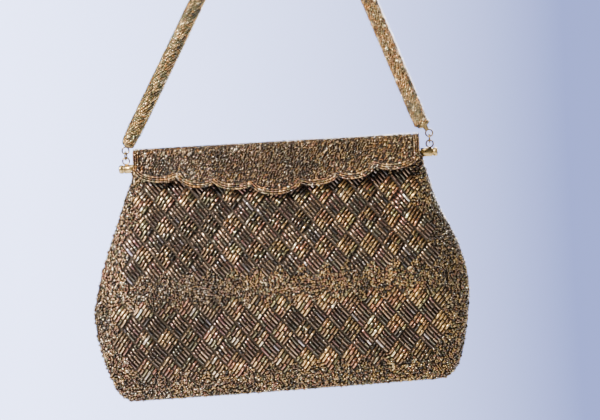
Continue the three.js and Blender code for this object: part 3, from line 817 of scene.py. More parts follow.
WALL_LIGHT = 6.0             # how much brighter the surroundings look than their colours
WALL_TURN = (0.34, 0.57)     # where across the surroundings the left and right colours begin
AIM_RIGHT, AIM_DOWN = 12.9 * MM, 31.3 * MM     # the camera's aim from the middle of the hinge line
LAMP_AIM_DOWN = 60 * MM
# Name, place, size, power and colour
LAMPS = (("key", (-0.82, -0.72, 0.42), 0.11, 54, (1.0, 0.95, 0.88)),
         ("fill", (0.9, -0.9, -0.1), 0.9, 0.8, (0.92, 0.95, 1.0)),
         ("top", (-0.1, -0.3, 0.75), 0.3, 6, (1.0, 0.98, 0.95)),
         ("back", (0.3, 0.95, 0.3), 0.5, 26, (1.0, 0.98, 0.96)),
         ("side", (1.1, 0.45, 0.1), 0.5, 14, (1.0, 0.98, 0.96)))
FLOOR_REACH, FLOOR_Z, FLOOR_THICK = 1.1, -0.60, 0.01


class BAG_OT_stage(bpy.types.Operator):
    """Camera, soft studio lights, pale surroundings and floor"""

    bl_idname = "bag.stage"
    bl_label = "Stage"

    def execute(self, context):
        sizes = context.scene.bag_stage
        target = Vector((MIDDLE + AIM_RIGHT, 0, HINGE_Z - AIM_DOWN))
        back = Vector((math.sin(sizes.azimuth), -math.cos(sizes.azimuth), 0))
        data = bpy.data.cameras.new("camera")
        data.sensor_width = 36
        data.lens = data.sensor_width * sizes.distance / sizes.view_width
        camera = bpy.data.objects.new("camera", data)
        context.scene.collection.objects.link(camera)
        camera.location = target + back * sizes.distance
        facing = (-back).to_track_quat("-Z", "Y").to_matrix().to_4x4()
        roll = Matrix.Rotation(-sizes.roll, 4, "Z")
        camera.matrix_world = Matrix.Translation(camera.location) @ facing @ roll
        context.scene.camera = camera

        graph = Graph("surroundings", bpy.data.worlds.new("surroundings"), "Background")
        heading = graph.node("ShaderNodeTexCoord").outputs["Generated"]
        across = graph.number("ShaderNodeSeparateXYZ", {}, {0: heading})
        wall = graph.ramp(across * 0.5 + 0.5, list(zip(WALL_TURN, (sizes.wall_colour,
                                                                   sizes.shade_colour))))
        seen = graph.node("ShaderNodeLightPath").outputs["Is Camera Ray"]
        bright = graph.mix(1.0, wall, (WALL_LIGHT,) * 3, "MULTIPLY")
        graph.set(Color=graph.mix(seen, sizes.room_colour[:], bright), Strength=1.0)
        context.scene.world = graph.material

        for name, place, size, power, colour in LAMPS:
            lamp = bpy.data.lights.new(name, "AREA")
            lamp.size, lamp.energy, lamp.color = size, power, colour
            made = bpy.data.objects.new(name, lamp)
            context.scene.collection.objects.link(made)
            made.location = place
            aim = Vector((MIDDLE, 0, HINGE_Z - LAMP_AIM_DOWN)) - Vector(place)
            made.rotation_mode = "QUATERNION"
            made.rotation_quaternion = aim.to_track_quat("-Z", "Y")

        reach = np.array((-FLOOR_REACH, FLOOR_REACH))
        x, y = np.meshgrid(reach, reach)
        top = np.stack([x, y, np.full_like(x, FLOOR_Z)], -1)
        floor = sheet_mesh("floor", top, top - np.array((0, 0, FLOOR_THICK)))
        graph = Graph("floor_paint")
        speckle = graph.noise(40, 4)
        paint = graph.ramp(speckle, [(0.3, (0.80, 0.82, 0.90)), (0.7, (0.86, 0.88, 0.95))])
        graph.set(Base_Color=paint, Roughness=0.8, Emission_Color=paint, Emission_Strength=0.35)
        floor.data.materials.append(graph.material)
        return {"FINISHED"}


# ---------------------------------------------------------------- handle

# Rope centre line from cap to cap over the hook, from the hook point
ROPE_POINTS = np.array([
    (-105.4, -159.8), (-98.0, -146.7), (-91.1, -134.4), (-81.3, -116.9), (-71.5, -99.5),
    (-61.8, -82.0), (-52.0, -64.6), (-38.5, -40.6), (-25.1, -16.7), (-19.2, -6.0),
    (-15.6, -1.4), (-11.0, 2.1), (-5.7, 4.3), (0, 5.0), (5.7, 4.3),
    (11.0, 2.1), (15.6, -1.4), (20.3, -9.5), (23.8, -20.8), (29.7, -38.6),
    (35.6, -56.5), (42.3, -75.3), (49.1, -94.1), (55.9, -112.9), (62.7, -131.7),
    (67.6, -145.4), (72.4, -159.1)]) * MM
SLEEVES = (7.5 * MM, 6.2 * MM)   # the beads run on over the caps at the left and right end
TAPERS = (0.15, 0.08)
TAPER_RUN = 11 * MM
ROPE_STEPS, ROPE_SIDES = 161, 16
ROWS_AROUND, ROW_PITCH = 17, 1.5 * MM        # beads in one turn, and from turn to turn
ROW_TURN, BEAD_SLANT = 0.21, 0.62
ROPE_BEAD_LENGTH, ROPE_BEAD_RADIUS = 2.15 * MM, 0.66 * MM


def rope_path():
    """The rope's points with the sleeve's two ends added, in line with its last points."""
    first, last = ROPE_POINTS[0], ROPE_POINTS[-1]
    before, after = first - ROPE_POINTS[1], last - ROPE_POINTS[-2]
    return np.concatenate([[first + SLEEVES[0] * before / np.linalg.norm(before)], ROPE_POINTS,
                           [last + SLEEVES[1] * after / np.linalg.norm(after)]])


def rope_swell(along, total):
    """Share of the rope's radius at a place along it: it narrows over its last stretch."""
    near, far = (ease(np.clip(run / TAPER_RUN, 0, 1)) for run in (along, total - along))
    return 1 - TAPERS[0] * (1 - near) - TAPERS[1] * (1 - far)


def rope_line(count):
    """Centre line points, tangents and sideways normals at even steps along the rope.
    Between the given points the line is a cubic through four neighbours."""
    path = rope_path()
    points = np.stack([path[:, 0], np.zeros(len(path)), path[:, 1]], -1)
    padded = np.concatenate([2 * points[:1] - points[1:2], points, 2 * points[-1:] - points[-2:-1]])
    t = np.linspace(0, len(points) - 1 - 1e-9, 1200)
    k, f = t.astype(int), (t % 1)[:, None]
    a, b, c, d = (padded[k + n] for n in range(4))
    fine = 0.5 * (2 * b + (c - a) * f + (2 * a - 5 * b + 4 * c - d) * f ** 2
                  + (3 * b - a - 3 * c + d) * f ** 3)
    run = np.concatenate([[0], np.cumsum(np.linalg.norm(np.diff(fine, axis=0), axis=1))])
    even = np.linspace(0, run[-1], count)
    line = np.stack([np.interp(even, run, fine[:, axis]) for axis in range(3)], -1)
    tangent = np.gradient(line, axis=0)
    tangent /= np.linalg.norm(tangent, axis=1, keepdims=True)
    normal = np.cross(np.array((0.0, 1.0, 0.0)), tangent)
    return line, tangent, normal, run[-1]


class BAG_OT_handle(bpy.types.Operator):
    """Beaded rope handle: a cotton core and slanting beads in spiral rows"""

    bl_idname = "bag.handle"
    bl_label = "Handle rope"

    def execute(self, context):
        sizes = context.scene.bag_sizes
        rng = np.random.default_rng(11)
        line, tangent, normal, total = rope_line(ROPE_STEPS)
        sideways = np.cross(tangent, normal)
        angle = np.linspace(0, 2 * np.pi, ROPE_SIDES, endpoint=False)
        swell = rope_swell(np.linspace(0, total, len(line)), total)
        rings = line[:, None] + sizes.rope_radius * swell[:, None, None] * (
            np.cos(angle)[None, :, None] * normal[:, None]
            + np.sin(angle)[None, :, None] * sideways[:, None])
        core = place_piece(swept("rope_core", rings), "handle", "core",
                           ["handle_rope"])

        places = np.arange(int(total / ROW_PITCH) * ROWS_AROUND)
        row, place = np.divmod(places, ROWS_AROUND)
        turn = 2 * np.pi * (place / ROWS_AROUND) + row * ROW_TURN + rng.normal(0, 0.05, len(row))
        along = (row + 0.5) * ROW_PITCH + rng.normal(0, 0.16 * MM, len(row))
        along = np.clip(along, MM, total - MM)
        step = along / total * (len(line) - 1)
        centre, forward, first, second = (
            np.stack([np.interp(step, np.arange(len(line)), v[:, axis]) for axis in range(3)], -1)
            for v in (line, tangent, normal, sideways))
        out = np.cos(turn)[:, None] * first + np.sin(turn)[:, None] * second
        round_way = -np.sin(turn)[:, None] * first + np.cos(turn)[:, None] * second
        slant = BEAD_SLANT + rng.normal(0, 0.16, len(row))
        direction = np.cos(slant)[:, None] * forward + np.sin(slant)[:, None] * round_way
        stand = sizes.rope_radius * rope_swell(along, total)
        stand = stand + rng.uniform(-0.05, 0.22, len(row)) * MM
        centre = centre + out * stand[:, None]
        right = rng.uniform(0, 1, len(row)) < np.clip(centre[:, 0] / (60 * MM) + 0.5, 0, 1)
        colours = np.where(right[:, None], mixed_colours(rng, len(row), AMBER_WEIGHTS, 0.78),
                           mixed_colours(rng, len(row), OLIVE_WEIGHTS, 0.95))
        beads = sew("rope_beads", SEED, centre, direction, out,
                    ROPE_BEAD_LENGTH * rng.uniform(0.8, 1.15, len(row)), ROPE_BEAD_RADIUS, colours)
        place_piece(beads, "handle", "handle_beads")
        return {"FINISHED"}


WIRE = 0.5 * MM
EYE_RADIUS = 2.15 * MM
EYE_GAP = 0.35 * MM
SLEEVE_RADIUS = 4.9 * MM
BORE, BORE_DEPTH = 1.65 * MM, 6 * MM


class BAG_OT_fittings(bpy.types.Operator):
    """End caps with their eyes, and the jump rings that hang them on the hinge"""

    bl_idname = "bag.fittings"
    bl_label = "Caps and rings"

    def execute(self, context):
        for where, end in (("left", 0), ("right", -1)):
            low, high = node_box(f"jump_ring_{where}")
            centre = (low + high) / 2
            ring = wire_ring(f"jump_ring_{where}_gold", centre, (high[2] - low[2]) / 2 - WIRE, WIRE,
                             (1, 0, 0))
            place_piece(ring, "handle", "aged_gold", [f"jump_ring_{where}"])
            eye = np.array((centre[0], 0, high[2] - 3 * WIRE - EYE_GAP + EYE_RADIUS))
            start = np.array((ROPE_POINTS[end][0], 0, ROPE_POINTS[end][1]))
            axis = start - eye
            reach = np.linalg.norm(axis)
            loop = wire_ring("loop", eye, EYE_RADIUS, WIRE, (0, 1, 0))
            mouth = reach - SLEEVES[end]
            wide = SLEEVE_RADIUS * (1 - TAPERS[end]) - 0.25 * MM
            bell = turned("bell", [
                (EYE_RADIUS - 0.2 * MM, 0), (EYE_RADIUS - 0.2 * MM, 1.1 * MM),
                (EYE_RADIUS + 0.3 * MM, 1.4 * MM), (mouth - 1.7 * MM, 1.6 * MM),
                (mouth - 1.3 * MM, wide * 0.7), (mouth - 0.7 * MM, wide * 0.92),
                (mouth - 0.2 * MM, wide), (mouth + 0.4 * MM, wide),
                (mouth + 0.5 * MM, wide * 0.9), (mouth - 0.3 * MM, wide * 0.85),
                (mouth - 0.3 * MM, 0)],
                eye, axis, (0, 1, 0))
            cap = joined(f"end_cap_{where}_gold", [loop, bell])
            place_piece(cap, "handle", "aged_gold", [f"end_cap_{where}"])
        return {"FINISHED"}


class BAG_OT_hinges(bpy.types.Operator):
    """Turned hinge barrels with a soldered eye each, and the finish of the pins and frame bars"""

    bl_idname = "bag.hinges"
    bl_label = "Hinges and frame"

    def execute(self, context):
        start = BARREL_LOW[0] - MIDDLE
        end = BARREL_HIGH[0] - MIDDLE
        radius = -(BARREL_LOW[2] - HINGE_Z)
        for where, side in (("left", -1), ("right", 1)):
            profile = [
                (start + BORE_DEPTH, 0), (start + BORE_DEPTH, BORE), (start, BORE),
                (start, radius - 0.25 * MM), (start + 0.25 * MM, radius), (end - 3.5 * MM, radius),
                (end - 3.25 * MM, radius - 0.55 * MM), (end - 2.65 * MM, radius - 0.55 * MM),
                (end - 2.4 * MM, radius), (end - 0.8 * MM, radius),
                (end - 0.25 * MM, radius - 0.25 * MM), (end, radius - 0.8 * MM), (end, 0)]
            barrel = turned("barrel", profile, (MIDDLE, 0, HINGE_Z), (side, 0, 0), (0, 1, 0), 40)
            _, high = node_box(f"hinge_barrel_{where}")
            ring_low, ring_high = node_box(f"jump_ring_{where}")
            centre = ((ring_low[0] + ring_high[0]) / 2, 0, high[2] - WIRE - EYE_RADIUS)
            eye = wire_ring("eye", centre, EYE_RADIUS, WIRE, (0, 1, 0))
            made = joined(f"hinge_barrel_{where}_gold", [barrel, eye])
            place_piece(made, "bag", "gold", [f"hinge_barrel_{where}"])
        for node, finish in (
                ("hinge_pin_left", "aged_gold"), ("hinge_pin_right", "aged_gold"),
                ("front_frame", "gold"), ("rear_frame", "gold"),
                ("snap_stud", "nickel"), ("snap_socket", "nickel")):
            dress(frame["nodes"][node], finish)
        return {"FINISHED"}


# ---------------------------------------------------------------- soft body

def even_stops(count, crowd=0.55):
    """Places from -1 to 1, crowded towards both ends by a sine."""
    t = np.linspace(-1, 1, count)
    return (1 - crowd) * t + crowd * np.sin(t * np.pi / 2)


def skin(name, point, inset=CLOTH_BED):
    """Closed cloth between a surface moved in by `inset` and the same moved in by its wall more."""
    return sheet_mesh(name, point(inset), point(inset + SHEET_WALL))


TOP_OF_FACE = 1.4 * MM       # the faces run up behind the cover bands
TOP_OF_STRIP = 4.4 * MM
STRIP_SWELL, STRIP_WAVE = 0.5 * MM, 14 * MM
BEAD_MARGIN = 0.5 * MM       # beads stop this far from a face's edge
FACE_ROWS, FACE_COLUMNS = 60, 72


def face_grid(side, inset):
    """Grid of points of a front or rear sheet."""
    bottom = BODY_HEIGHT - 0.4 * MM
    depth = TOP_OF_FACE + (bottom - TOP_OF_FACE) * (even_stops(FACE_ROWS, 0.4)[:, None] + 1) / 2
    reach = outline_width(np.clip(depth, MOUTH_DROP, BODY_HEIGHT)) - inset * 0.6
    x = even_stops(FACE_COLUMNS)[None, :] * reach
    return body_face(side, x, np.broadcast_to(depth, x.shape), inset)


def blend_at_mouth(piece):
    """Bakes the piece's placement into its points."""
    HINGE_Z - MOUTH_DROP
    HINGE_Z - TOP_OF_FACE
    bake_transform(piece)


class BAG_OT_faces(bpy.types.Operator):
    """Front and rear of the bag: a backing sheet, basketweave bugles and a close fill"""

    bl_idname = "bag.faces"
    bl_label = "Front and rear"

    def execute(self, context):
        sizes = context.scene.bag_sizes
        for where, side, seed in (("front", -1, 21), ("rear", 1, 22)):
            rng = np.random.default_rng(seed)
            backing = skin(f"{where}_backing", lambda inset: face_grid(side, inset))
            place_piece(backing, None, "backing", [f"{where}_panel"])

            def surface(x, depth, side=side):
                return body_face(side, x, depth, BEAD_BED)

            flip = 1 if side < 0 else -1
            weave = weave_beads(f"{where}_weave", rng, surface, flip, WEAVE_WEIGHTS)
            place_piece(weave, None, "body_beads")
            a, b = scatter(rng, (-BELLY_HALF_WIDTH, BELLY_HALF_WIDTH), (TOP_OF_FACE, BODY_HEIGHT),
                           sizes.pitch)
            keep = np.abs(a) < outline_width(np.clip(b, MOUTH_DROP, BODY_HEIGHT)) - BEAD_MARGIN
            keep &= ~is_woven(*block_of(a, b)) & (b < BODY_HEIGHT - BEAD_MARGIN)
            fill = fill_beads(f"{where}_fill", rng, surface, a[keep], b[keep], BODY_WEIGHTS, flip,
                              sizes.bead_radius)
            place_piece(fill, None, "body_beads")
            for piece in (backing, weave, fill):
                blend_at_mouth(piece)
        return {"FINISHED"}


def strip_reach(depth):
    """Half width of a side strip between the two faces' rounded edges."""
    return half_gusset(depth) - edge_radius(depth)


def gusset_point(side, across, depth, inset):
    """Point of a side strip, `across` from -1 to 1: a sine of depth swells its middle."""
    swell = STRIP_SWELL * np.sin(depth / STRIP_WAVE) * (1 - across ** 2)
    x = outline_width(depth) - inset + swell
    return settle(np.stack([MIDDLE + side * x, across * strip_reach(depth), HINGE_Z - depth], -1))


class BAG_OT_gussets(bpy.types.Operator):
    """Side strips with their beads"""

    bl_idname = "bag.gussets"
    bl_label = "Side strips"

    def execute(self, context):
        sizes = context.scene.bag_sizes
        top, bottom = TOP_OF_STRIP, BODY_HEIGHT - BOTTOM_ROUND
        for where, side, seed in (("left", -1, 31), ("right", 1, 32)):
            rng = np.random.default_rng(seed)
            depth, across = np.meshgrid(top + (bottom - top) * (even_stops(50, 0.3) + 1) / 2,
                                        np.linspace(-1, 1, 9), indexing="ij")
            backing = skin(f"gusset_{where}_backing",
                           lambda inset: gusset_point(side, across, depth, inset))
            place_piece(backing, "bag", "backing", [f"gusset_{where}"])
            wide = BELLY_HALF_GUSSET + 4 * MM
            a, b = scatter(rng, (-wide, wide), (top, bottom), sizes.pitch)
            keep = np.abs(a) < strip_reach(b) + 0.4 * MM

            def surface(a, b, side=side):
                return gusset_point(side, a / strip_reach(b), b, BEAD_BED)

            beads = fill_beads(f"gusset_{where}_beads", rng, surface, a[keep], b[keep],
                               BODY_WEIGHTS, side, sizes.bead_radius)
            place_piece(beads, "bag", "body_beads")
        return {"FINISHED"}


BASE_EDGE, BASE_BEAD_EDGE = 2.4 * MM, 4.2 * MM      # in from the faces' lower edge
BASE_END_ROUND = 4 * MM


def base_reach(x):
    """Half the bag's thickness where the faces meet the base."""
    return face_out(np.minimum(np.abs(x), BASE_HALF_WIDTH - BASE_CORNER),
                    BODY_HEIGHT - BOTTOM_ROUND, False)


def base_point(x, across, inset):
    """Point of the base: flat in the middle, its ends turned up round the lower corners."""
    flat = BASE_HALF_WIDTH - BASE_CORNER
    past = np.clip(np.abs(x) - flat, 0, BASE_CORNER * 0.98)
    turn = BASE_CORNER - np.sqrt(BASE_CORNER ** 2 - past ** 2)
    reach = base_reach(x) - BASE_EDGE - edge_round(BASE_HALF_WIDTH - np.abs(x), BASE_END_ROUND)
    return settle(np.stack([MIDDLE + x, across * reach, HINGE_Z - BODY_HEIGHT + turn + inset], -1))


class BAG_OT_base(bpy.types.Operator):
    """Base strip with its beads and a bead-free seam line round it"""

    bl_idname = "bag.base"
    bl_label = "Base"

    def execute(self, context):
        sizes = context.scene.bag_sizes
        rng = np.random.default_rng(41)
        end = BASE_HALF_WIDTH - 2.0 * MM
        x, across = np.meshgrid(even_stops(60, 0.5) * end, np.linspace(-1, 1, 9), indexing="ij")
        backing = skin("base_backing", lambda inset: base_point(x, across, inset), BEAD_BED)
        place_piece(backing, "bag", "backing", ["base_cover"])
        a, b = scatter(rng, (-end, end), (-BASE_HALF_THICK, BASE_HALF_THICK), sizes.pitch)
        keep = np.abs(b) < base_reach(a) - BASE_BEAD_EDGE

        def surface(a, b):
            full = base_point(a, np.ones_like(a), 0)[..., 1]
            return base_point(a, b / full, 0.75 * MM)

        beads = fill_beads("base_beads", rng, surface, a[keep], b[keep], BODY_WEIGHTS, 1,
                           sizes.bead_radius)
        place_piece(beads, "bag", "body_beads")
        return {"FINISHED"}


# ---------------------------------------------------------------- cover bands and flap

def round_fold(across, up, radius, angle):
    """Points of an arc round a centre."""
    return np.stack([across + radius * np.cos(angle), up + radius * np.sin(angle)], -1)


BAND_SHELL, BAND_ROUND, BAND_SET = 1.2 * MM, 2.4 * MM, 0.5 * MM


def band_profile(side):
    """Across the bag, the cover band's outline: up its outer wall, over a round shoulder,
    across the top, and back along the inside. Closed."""
    wall = BAND_SHELL
    out, rise = BAND_OUT - BAND_SET, BAND_RISE - BAND_SET
    angle = np.linspace(0, np.pi / 2, 7)

    def shell(out, rise, radius):
        arc = round_fold(out - radius, rise - radius, radius, angle)
        return np.concatenate([[(out, -BAND_DROP)], arc, [(0.5 * MM, rise)]])

    outer = shell(out, rise, BAND_ROUND)
    inner = shell(out - wall, rise - wall, BAND_ROUND - wall)[::-1]
    return np.concatenate([outer, inner]) * np.array((side, 1.0))


class BAG_OT_bands(bpy.types.Operator):
    """Cover bands on the two frame halves, with beads on their outer walls"""

    bl_idname = "bag.bands"
    bl_label = "Cover bands"

    def execute(self, context):
        sizes = context.scene.bag_sizes
        end = (BAND_HIGH[0] - BAND_LOW[0]) / 2
        for where, side, seed in (("front", -1, 51), ("rear", 1, 52)):
            rng = np.random.default_rng(seed)
            line = band_profile(side)
            stops = np.linspace(-end, end, 40)
            rings = np.stack(np.broadcast_arrays(MIDDLE + stops[:, None], line[None, :, 0],
                                                 HINGE_Z + line[None, :, 1]), -1)
            band = swept(f"{where}_band_cloth", rings)
            body = "front_half" if side < 0 else "rear_half"
            place_piece(band, body, "backing", [f"{where}_cover_band"])
            a, b = scatter(rng, (-end + MM, end - MM),
                           (-BAND_DROP + 0.8 * MM, BAND_RISE - 2.6 * MM), sizes.pitch)

            def surface(a, b, side=side):
                return np.stack([MIDDLE + a, np.full_like(a, side * (BAND_OUT - 0.35 * MM)),
                                 HINGE_Z + b], -1)

            beads = fill_beads(f"{where}_band_beads", rng, surface, a, b, BODY_WEIGHTS,
                               -1 if side < 0 else 1, 0.5 * MM)
            place_piece(beads, body, "body_beads")
        return {"FINISHED"}


# Flap profile, the same as the frame's
FLAP_WALL = 2.25 * MM
FLAP_FRONT = BAND_OUT + 1.7 * MM + FLAP_WALL
FLAP_REAR = FLAP_HIGH[1]
FLAP_LEAN = 0.09
FLAP_FOLD = 4.5 * MM
FLAP_REAR_HEM = 5.6 * MM
SIDE_DROP = 14.0 * MM
CUSPS = ((-61, 19.5), (-38, 24), (-15.5, 27), (15.5, 27), (38, 24), (61, 19.5))
LOBES = (21.5, 26, 28.5, 33, 28.5, 26, 21.5)
DEEPEST = 34 * MM
BORDER_PITCH, BORDER_STEP = 1.35 * MM, 2.55 * MM    # edging rows, and the beads along a row
FLAP_BED = 0.45 * MM


def flap_profile(inset):
    """Across the bag, the flap's outer line from its rear hem up, over two round folds and down
    the leaning front, moved in by `inset`. Returns dense points and their run along the line."""
    fold, top = FLAP_FOLD - inset, FLAP_RISE - FLAP_FOLD
    lowest = FLAP_RISE - DEEPEST
    angle = np.linspace(0, np.pi / 2, 12)
    rear_arc = round_fold(FLAP_REAR - FLAP_FOLD, top, fold, angle)
    front_arc = round_fold(-FLAP_FRONT + FLAP_FOLD, top, fold, angle + np.pi / 2)
    front_end = (-(FLAP_FRONT - inset) - FLAP_LEAN * (top - lowest), lowest)
    line = np.concatenate([[(FLAP_REAR - inset, FLAP_REAR_HEM)], rear_arc, front_arc, [front_end]])
    run = np.concatenate([[0], np.cumsum(np.linalg.norm(np.diff(line, axis=0), axis=1))])
    return line, run


FLAP_LINE, FLAP_RUN = flap_profile(0)
FRONT_TOP_RUN = FLAP_RUN[-2]                 # where the front wall starts to hang
FRONT_TOP_RISE = FLAP_LINE[-2, 1]
HEM_FREE = 1.5 * MM                          # the rear hem has no beads this far up


def run_at_drop(drop):
    """Run along the flap's line at a distance below its top, on the hanging front."""
    return FRONT_TOP_RUN + (drop - (FLAP_RISE - FRONT_TOP_RISE)) * math.hypot(1, FLAP_LEAN)


def flap_point(x, run, inset=0.0):
    """Point of the flap, a run along its line from the rear hem."""
    line, own = flap_profile(inset)
    share = np.interp(run, FLAP_RUN, own)
    return np.stack([MIDDLE + x, np.interp(share, own, line[:, 0]),
                     HINGE_Z + np.interp(share, own, line[:, 1])], -1)


def scallop_line(steps=24):
    """The flap's lower edge from left to right as (x, drop): cubic arcs between the cusps, whose
    lowest points are the lobes."""
    half = FLAP_HALF_WIDTH / MM
    stops = [(-half, SIDE_DROP / MM), *CUSPS, (half, SIDE_DROP / MM)]
    t = np.linspace(0, 1, steps, endpoint=False)
    parts = []
    for (x0, d0), (x1, d1), lobe in zip(stops[:-1], stops[1:], LOBES):
        deep, spread = (lobe - (d0 + d1) / 8) / 0.75, (x1 - x0) * 0.16
        weights = np.stack([(1 - t) ** 3, 3 * (1 - t) ** 2 * t, 3 * (1 - t) * t ** 2, t ** 3], -1)
        corners = np.array([(x0, d0), (x0 + spread, deep), (x1 - spread, deep), (x1, d1)])
        parts.append(weights @ corners)
    return np.concatenate([*parts, [(half, SIDE_DROP / MM)]]) * MM


SCALLOPS = scallop_line()


def scallop_drop(x):
    """Drop of the flap's edge below its top at x."""
    return np.interp(x, SCALLOPS[:, 0], SCALLOPS[:, 1])


def edging_path(offset):
    """A line inside the flap's edge by `offset`: down the left side, along the scallops, up the
    right side, as (x, run) at even steps of its own length."""
    half = FLAP_HALF_WIDTH
    side = np.linspace(HEM_FREE + 1.2 * MM - FRONT_TOP_RUN + FLAP_RISE - FRONT_TOP_RISE,
                       SIDE_DROP - 0.5 * MM, 24)
    line = np.concatenate([np.stack([np.full_like(side, -half), side], -1), SCALLOPS,
                           np.stack([np.full_like(side, half), side[::-1]], -1)])
    step = np.gradient(line, axis=0)
    step /= np.maximum(np.linalg.norm(step, axis=1, keepdims=True), 1e-12)
    moved = line + offset * np.stack([step[:, 1], -step[:, 0]], -1)
    run = np.concatenate([[0], np.cumsum(np.linalg.norm(np.diff(moved, axis=0), axis=1))])
    return moved, run


class BAG_OT_flap(bpy.types.Operator):
    """Scalloped flap: backing, satin lining, close beads and rows of edging beads"""

    bl_idname = "bag.flap"
    bl_label = "Flap"

    def execute(self, context):
        sizes = context.scene.bag_sizes
        rng = np.random.default_rng(61)
        half = FLAP_HALF_WIDTH - 0.3 * MM
        x = even_stops(141, 0.15) * half
        end_run = run_at_drop(scallop_drop(x))
        share = np.linspace(0, 1, 56)[:, None]
        run = 0.6 * MM + share * (end_run[None, :] - 0.6 * MM)
        grid = np.broadcast_to(x, run.shape)
        cloth = sheet_mesh("flap_backing", flap_point(grid, run, 0.75 * MM),
                           flap_point(grid, run, 1.3 * MM))
        place_piece(cloth, "flap", "backing", ["flap_cover"])
        inner = share * (end_run[None, :] - 2 * MM) + 0.8 * MM
        satin = sheet_mesh("flap_satin", flap_point(grid * 0.988, inner, 1.6 * MM),
                           flap_point(grid * 0.988, inner, FLAP_WALL))
        place_piece(satin, "flap", "satin", ["flap_lining"])

        def surface(a, b):
            return flap_point(a, b, FLAP_BED)

        border = BORDER_PITCH * sizes.edging_rows + 0.3 * MM
        a, b = scatter(rng, (-half, half), (HEM_FREE, run_at_drop(33 * MM)), sizes.pitch)
        drop = scallop_drop(a)
        keep = (b < run_at_drop(drop) - border) & (np.abs(a) < half - border)
        fill = fill_beads("flap_fill", rng, surface, a[keep], b[keep], FLAP_WEIGHTS, 1, 0.58 * MM,
                          2.3 * MM, 0.15)
        place_piece(fill, "flap", "flap_beads")

        centres, ways, normals = [], [], []
        for k in range(sizes.edging_rows):
            moved, length = edging_path(0.65 * MM + BORDER_PITCH * k)
            even = np.arange(1.2 * MM, length[-1], BORDER_STEP) + (k % 2) * 1.2 * MM
            even = even[even < length[-1]]
            px, pd = (np.interp(even, length, moved[:, axis]) for axis in range(2))
            ahead = [np.interp(even + 0.6 * MM, length, moved[:, axis]) for axis in range(2)]
            point, _, _, normal = on_surface(surface, px, run_at_drop(pd))
            target = surface(ahead[0], run_at_drop(ahead[1]))
            centres.append(point + normal * 0.25 * MM)
            ways.append(target - point + 1e-9)
            normals.append(normal)
        centre, way, normal = (np.concatenate(v) for v in (centres, ways, normals))
        count = len(centre)
        rows = sew("flap_edging", BUGLE, centre, way, normal, 2.5 * MM, 0.62 * MM,
                   mixed_colours(rng, count, FLAP_WEIGHTS, 0.72))
        place_piece(rows, "flap", "flap_beads")
        return {"FINISHED"}


# ---------------------------------------------------------------- lining

LINING_INSET = 1.95 * MM
LINING_WALL = 0.6 * MM
LINING_INNER = LINING_INSET + LINING_WALL
POCKET_OUT, POCKET_IN, HEM_IN = (LINING_INNER + gap * MM for gap in (0.5, 1.1, 1.6))
HEM_WIDTH = 6 * MM


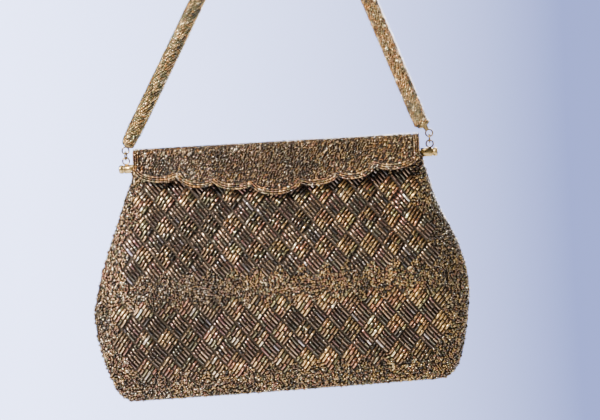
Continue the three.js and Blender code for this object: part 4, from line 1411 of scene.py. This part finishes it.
class BAG_OT_lining(bpy.types.Operator):
    """Satin lining in five pieces, gathered at the mouth, and the inner pocket with its hem"""

    bl_idname = "bag.lining"
    bl_label = "Lining and pocket"

    def execute(self, context):
        bottom = BODY_HEIGHT - 5.4 * MM

        def layer(side, inset, x_reach, top, foot, rows, columns):
            depth = np.linspace(top, foot, rows)[:, None]
            width = np.minimum(outline_width(depth) - inset, x_reach)
            x = np.linspace(-1, 1, columns)[None, :] * width
            gather = 0.18 * MM * np.sin(x / (2.1 * MM)) * np.exp(-(depth - top) / (16 * MM))
            crease = 0.2 * MM * np.sin(x / (19 * MM) + depth / (13 * MM))
            t = x / (outline_width(depth) - inset) * outline_width(depth)
            out = face_out(t, depth, False) - inset - 0.15 * MM + (gather + crease) * 0.5
            return settle(np.stack([MIDDLE + x, side * out,
                                    np.broadcast_to(HINGE_Z - depth, x.shape)], -1))

        for where, side in (("front", -1), ("rear", 1)):
            shape = (BELLY_HALF_WIDTH, MOUTH_DROP, bottom, 50, 120)
            made = sheet_mesh(f"satin_{where}", layer(side, LINING_INSET + 0.1 * MM, *shape),
                              layer(side, LINING_INNER, *shape))
            place_piece(made, "bag", "satin", [f"lining_{where}"])
        low, high = node_box("inner_pocket")
        reach = (high[0] - low[0]) / 2
        top, under = HINGE_Z - high[2], HINGE_Z - low[2]
        shape = (reach, top, under, 30, 60)
        pocket = sheet_mesh("pocket_satin", layer(1, POCKET_OUT, *shape),
                            layer(1, POCKET_IN, *shape))
        shape = (reach, top, top + HEM_WIDTH, 6, 60)
        hem = sheet_mesh("hem", layer(1, POCKET_IN, *shape), layer(1, HEM_IN, *shape))
        place_piece(joined("inner_pocket_satin", [pocket, hem]), "bag", "satin",
                    ["inner_pocket"])
        for where, side in (("left", -1), ("right", 1)):
            depth, across = np.meshgrid(np.linspace(MOUTH_DROP, bottom, 40), np.linspace(-1, 1, 15),
                                        indexing="ij")

            def strip(inset, side=side, depth=depth, across=across):
                reach = half_gusset(depth) - inset - 0.6 * MM
                x = outline_width(depth) - inset + 0.15 * MM * np.sin(across * 9)
                return settle(np.stack([MIDDLE + side * x, across * reach, HINGE_Z - depth], -1))

            made = sheet_mesh(f"satin_{where}", strip(LINING_INSET + 0.2 * MM),
                              strip(LINING_INNER + 0.1 * MM))
            place_piece(made, "bag", "satin", [f"lining_{where}"])
        low, high = node_box("lining_base")
        x, y = np.meshgrid(np.linspace(low[0], high[0], 50), np.linspace(low[1], high[1], 20))
        ruck = 0.15 * MM * np.sin((x - MIDDLE) / (11 * MM)) * np.sin(y / (5 * MM))
        floor = settle(np.stack([x, y, high[2] + ruck], -1))
        made = sheet_mesh("satin_base", floor, floor - np.array((0, 0, 0.6 * MM)))
        place_piece(made, "bag", "satin", ["lining_base"])
        low, high = node_box("base_board")
        x, across = np.meshgrid(np.linspace(low[0], high[0], 40) - MIDDLE, np.linspace(-1, 1, 9))
        reach = face_out(x, BODY_HEIGHT, False) - LINING_INNER - 0.5 * MM
        levels = [settle(np.stack([MIDDLE + x, across * reach, np.full_like(x, z)], -1))
                  for z in (high[2], low[2])]
        place_piece(sheet_mesh("base_card", *levels), "bag", "card", ["base_board"])
        return {"FINISHED"}


# ---------------------------------------------------------------- add-on

class BAG_PT_panel(bpy.types.Panel):
    """Lists the bag's pieces and the sizes they are made from"""

    bl_idname = "BAG_PT_panel"
    bl_label = "Evening Bag"
    bl_space_type = "VIEW_3D"
    bl_region_type = "UI"
    bl_category = "Evening Bag"

    def draw(self, context):
        layout = self.layout
        for group in (context.scene.bag_stage, context.scene.bag_sizes):
            for name in group.bl_rna.properties.keys():
                if name not in {"rna_type", "name"}:
                    layout.prop(group, name)
        for operator in OPERATORS:
            layout.operator(operator.bl_idname)


OPERATORS = (BAG_OT_stage, BAG_OT_fittings, BAG_OT_handle, BAG_OT_hinges, BAG_OT_faces,
             BAG_OT_gussets, BAG_OT_base, BAG_OT_bands, BAG_OT_flap, BAG_OT_lining)
CLASSES = (BagSizes, StageSizes, *OPERATORS, BAG_PT_panel)


def register():
    """Adds the classes and the two groups of sizes."""
    for cls in CLASSES:
        bpy.utils.register_class(cls)
    bpy.types.Scene.bag_sizes = bpy.props.PointerProperty(type=BagSizes)
    bpy.types.Scene.bag_stage = bpy.props.PointerProperty(type=StageSizes)


def unregister():
    """Takes them away again."""
    del bpy.types.Scene.bag_stage
    del bpy.types.Scene.bag_sizes
    for cls in reversed(CLASSES):
        bpy.utils.unregister_class(cls)


def main():
    """Builds every piece in order."""
    register()
    for operator in OPERATORS:
        category, name = operator.bl_idname.split(".")
        getattr(getattr(bpy.ops, category), name)()


if __name__ == "__main__":
    main()
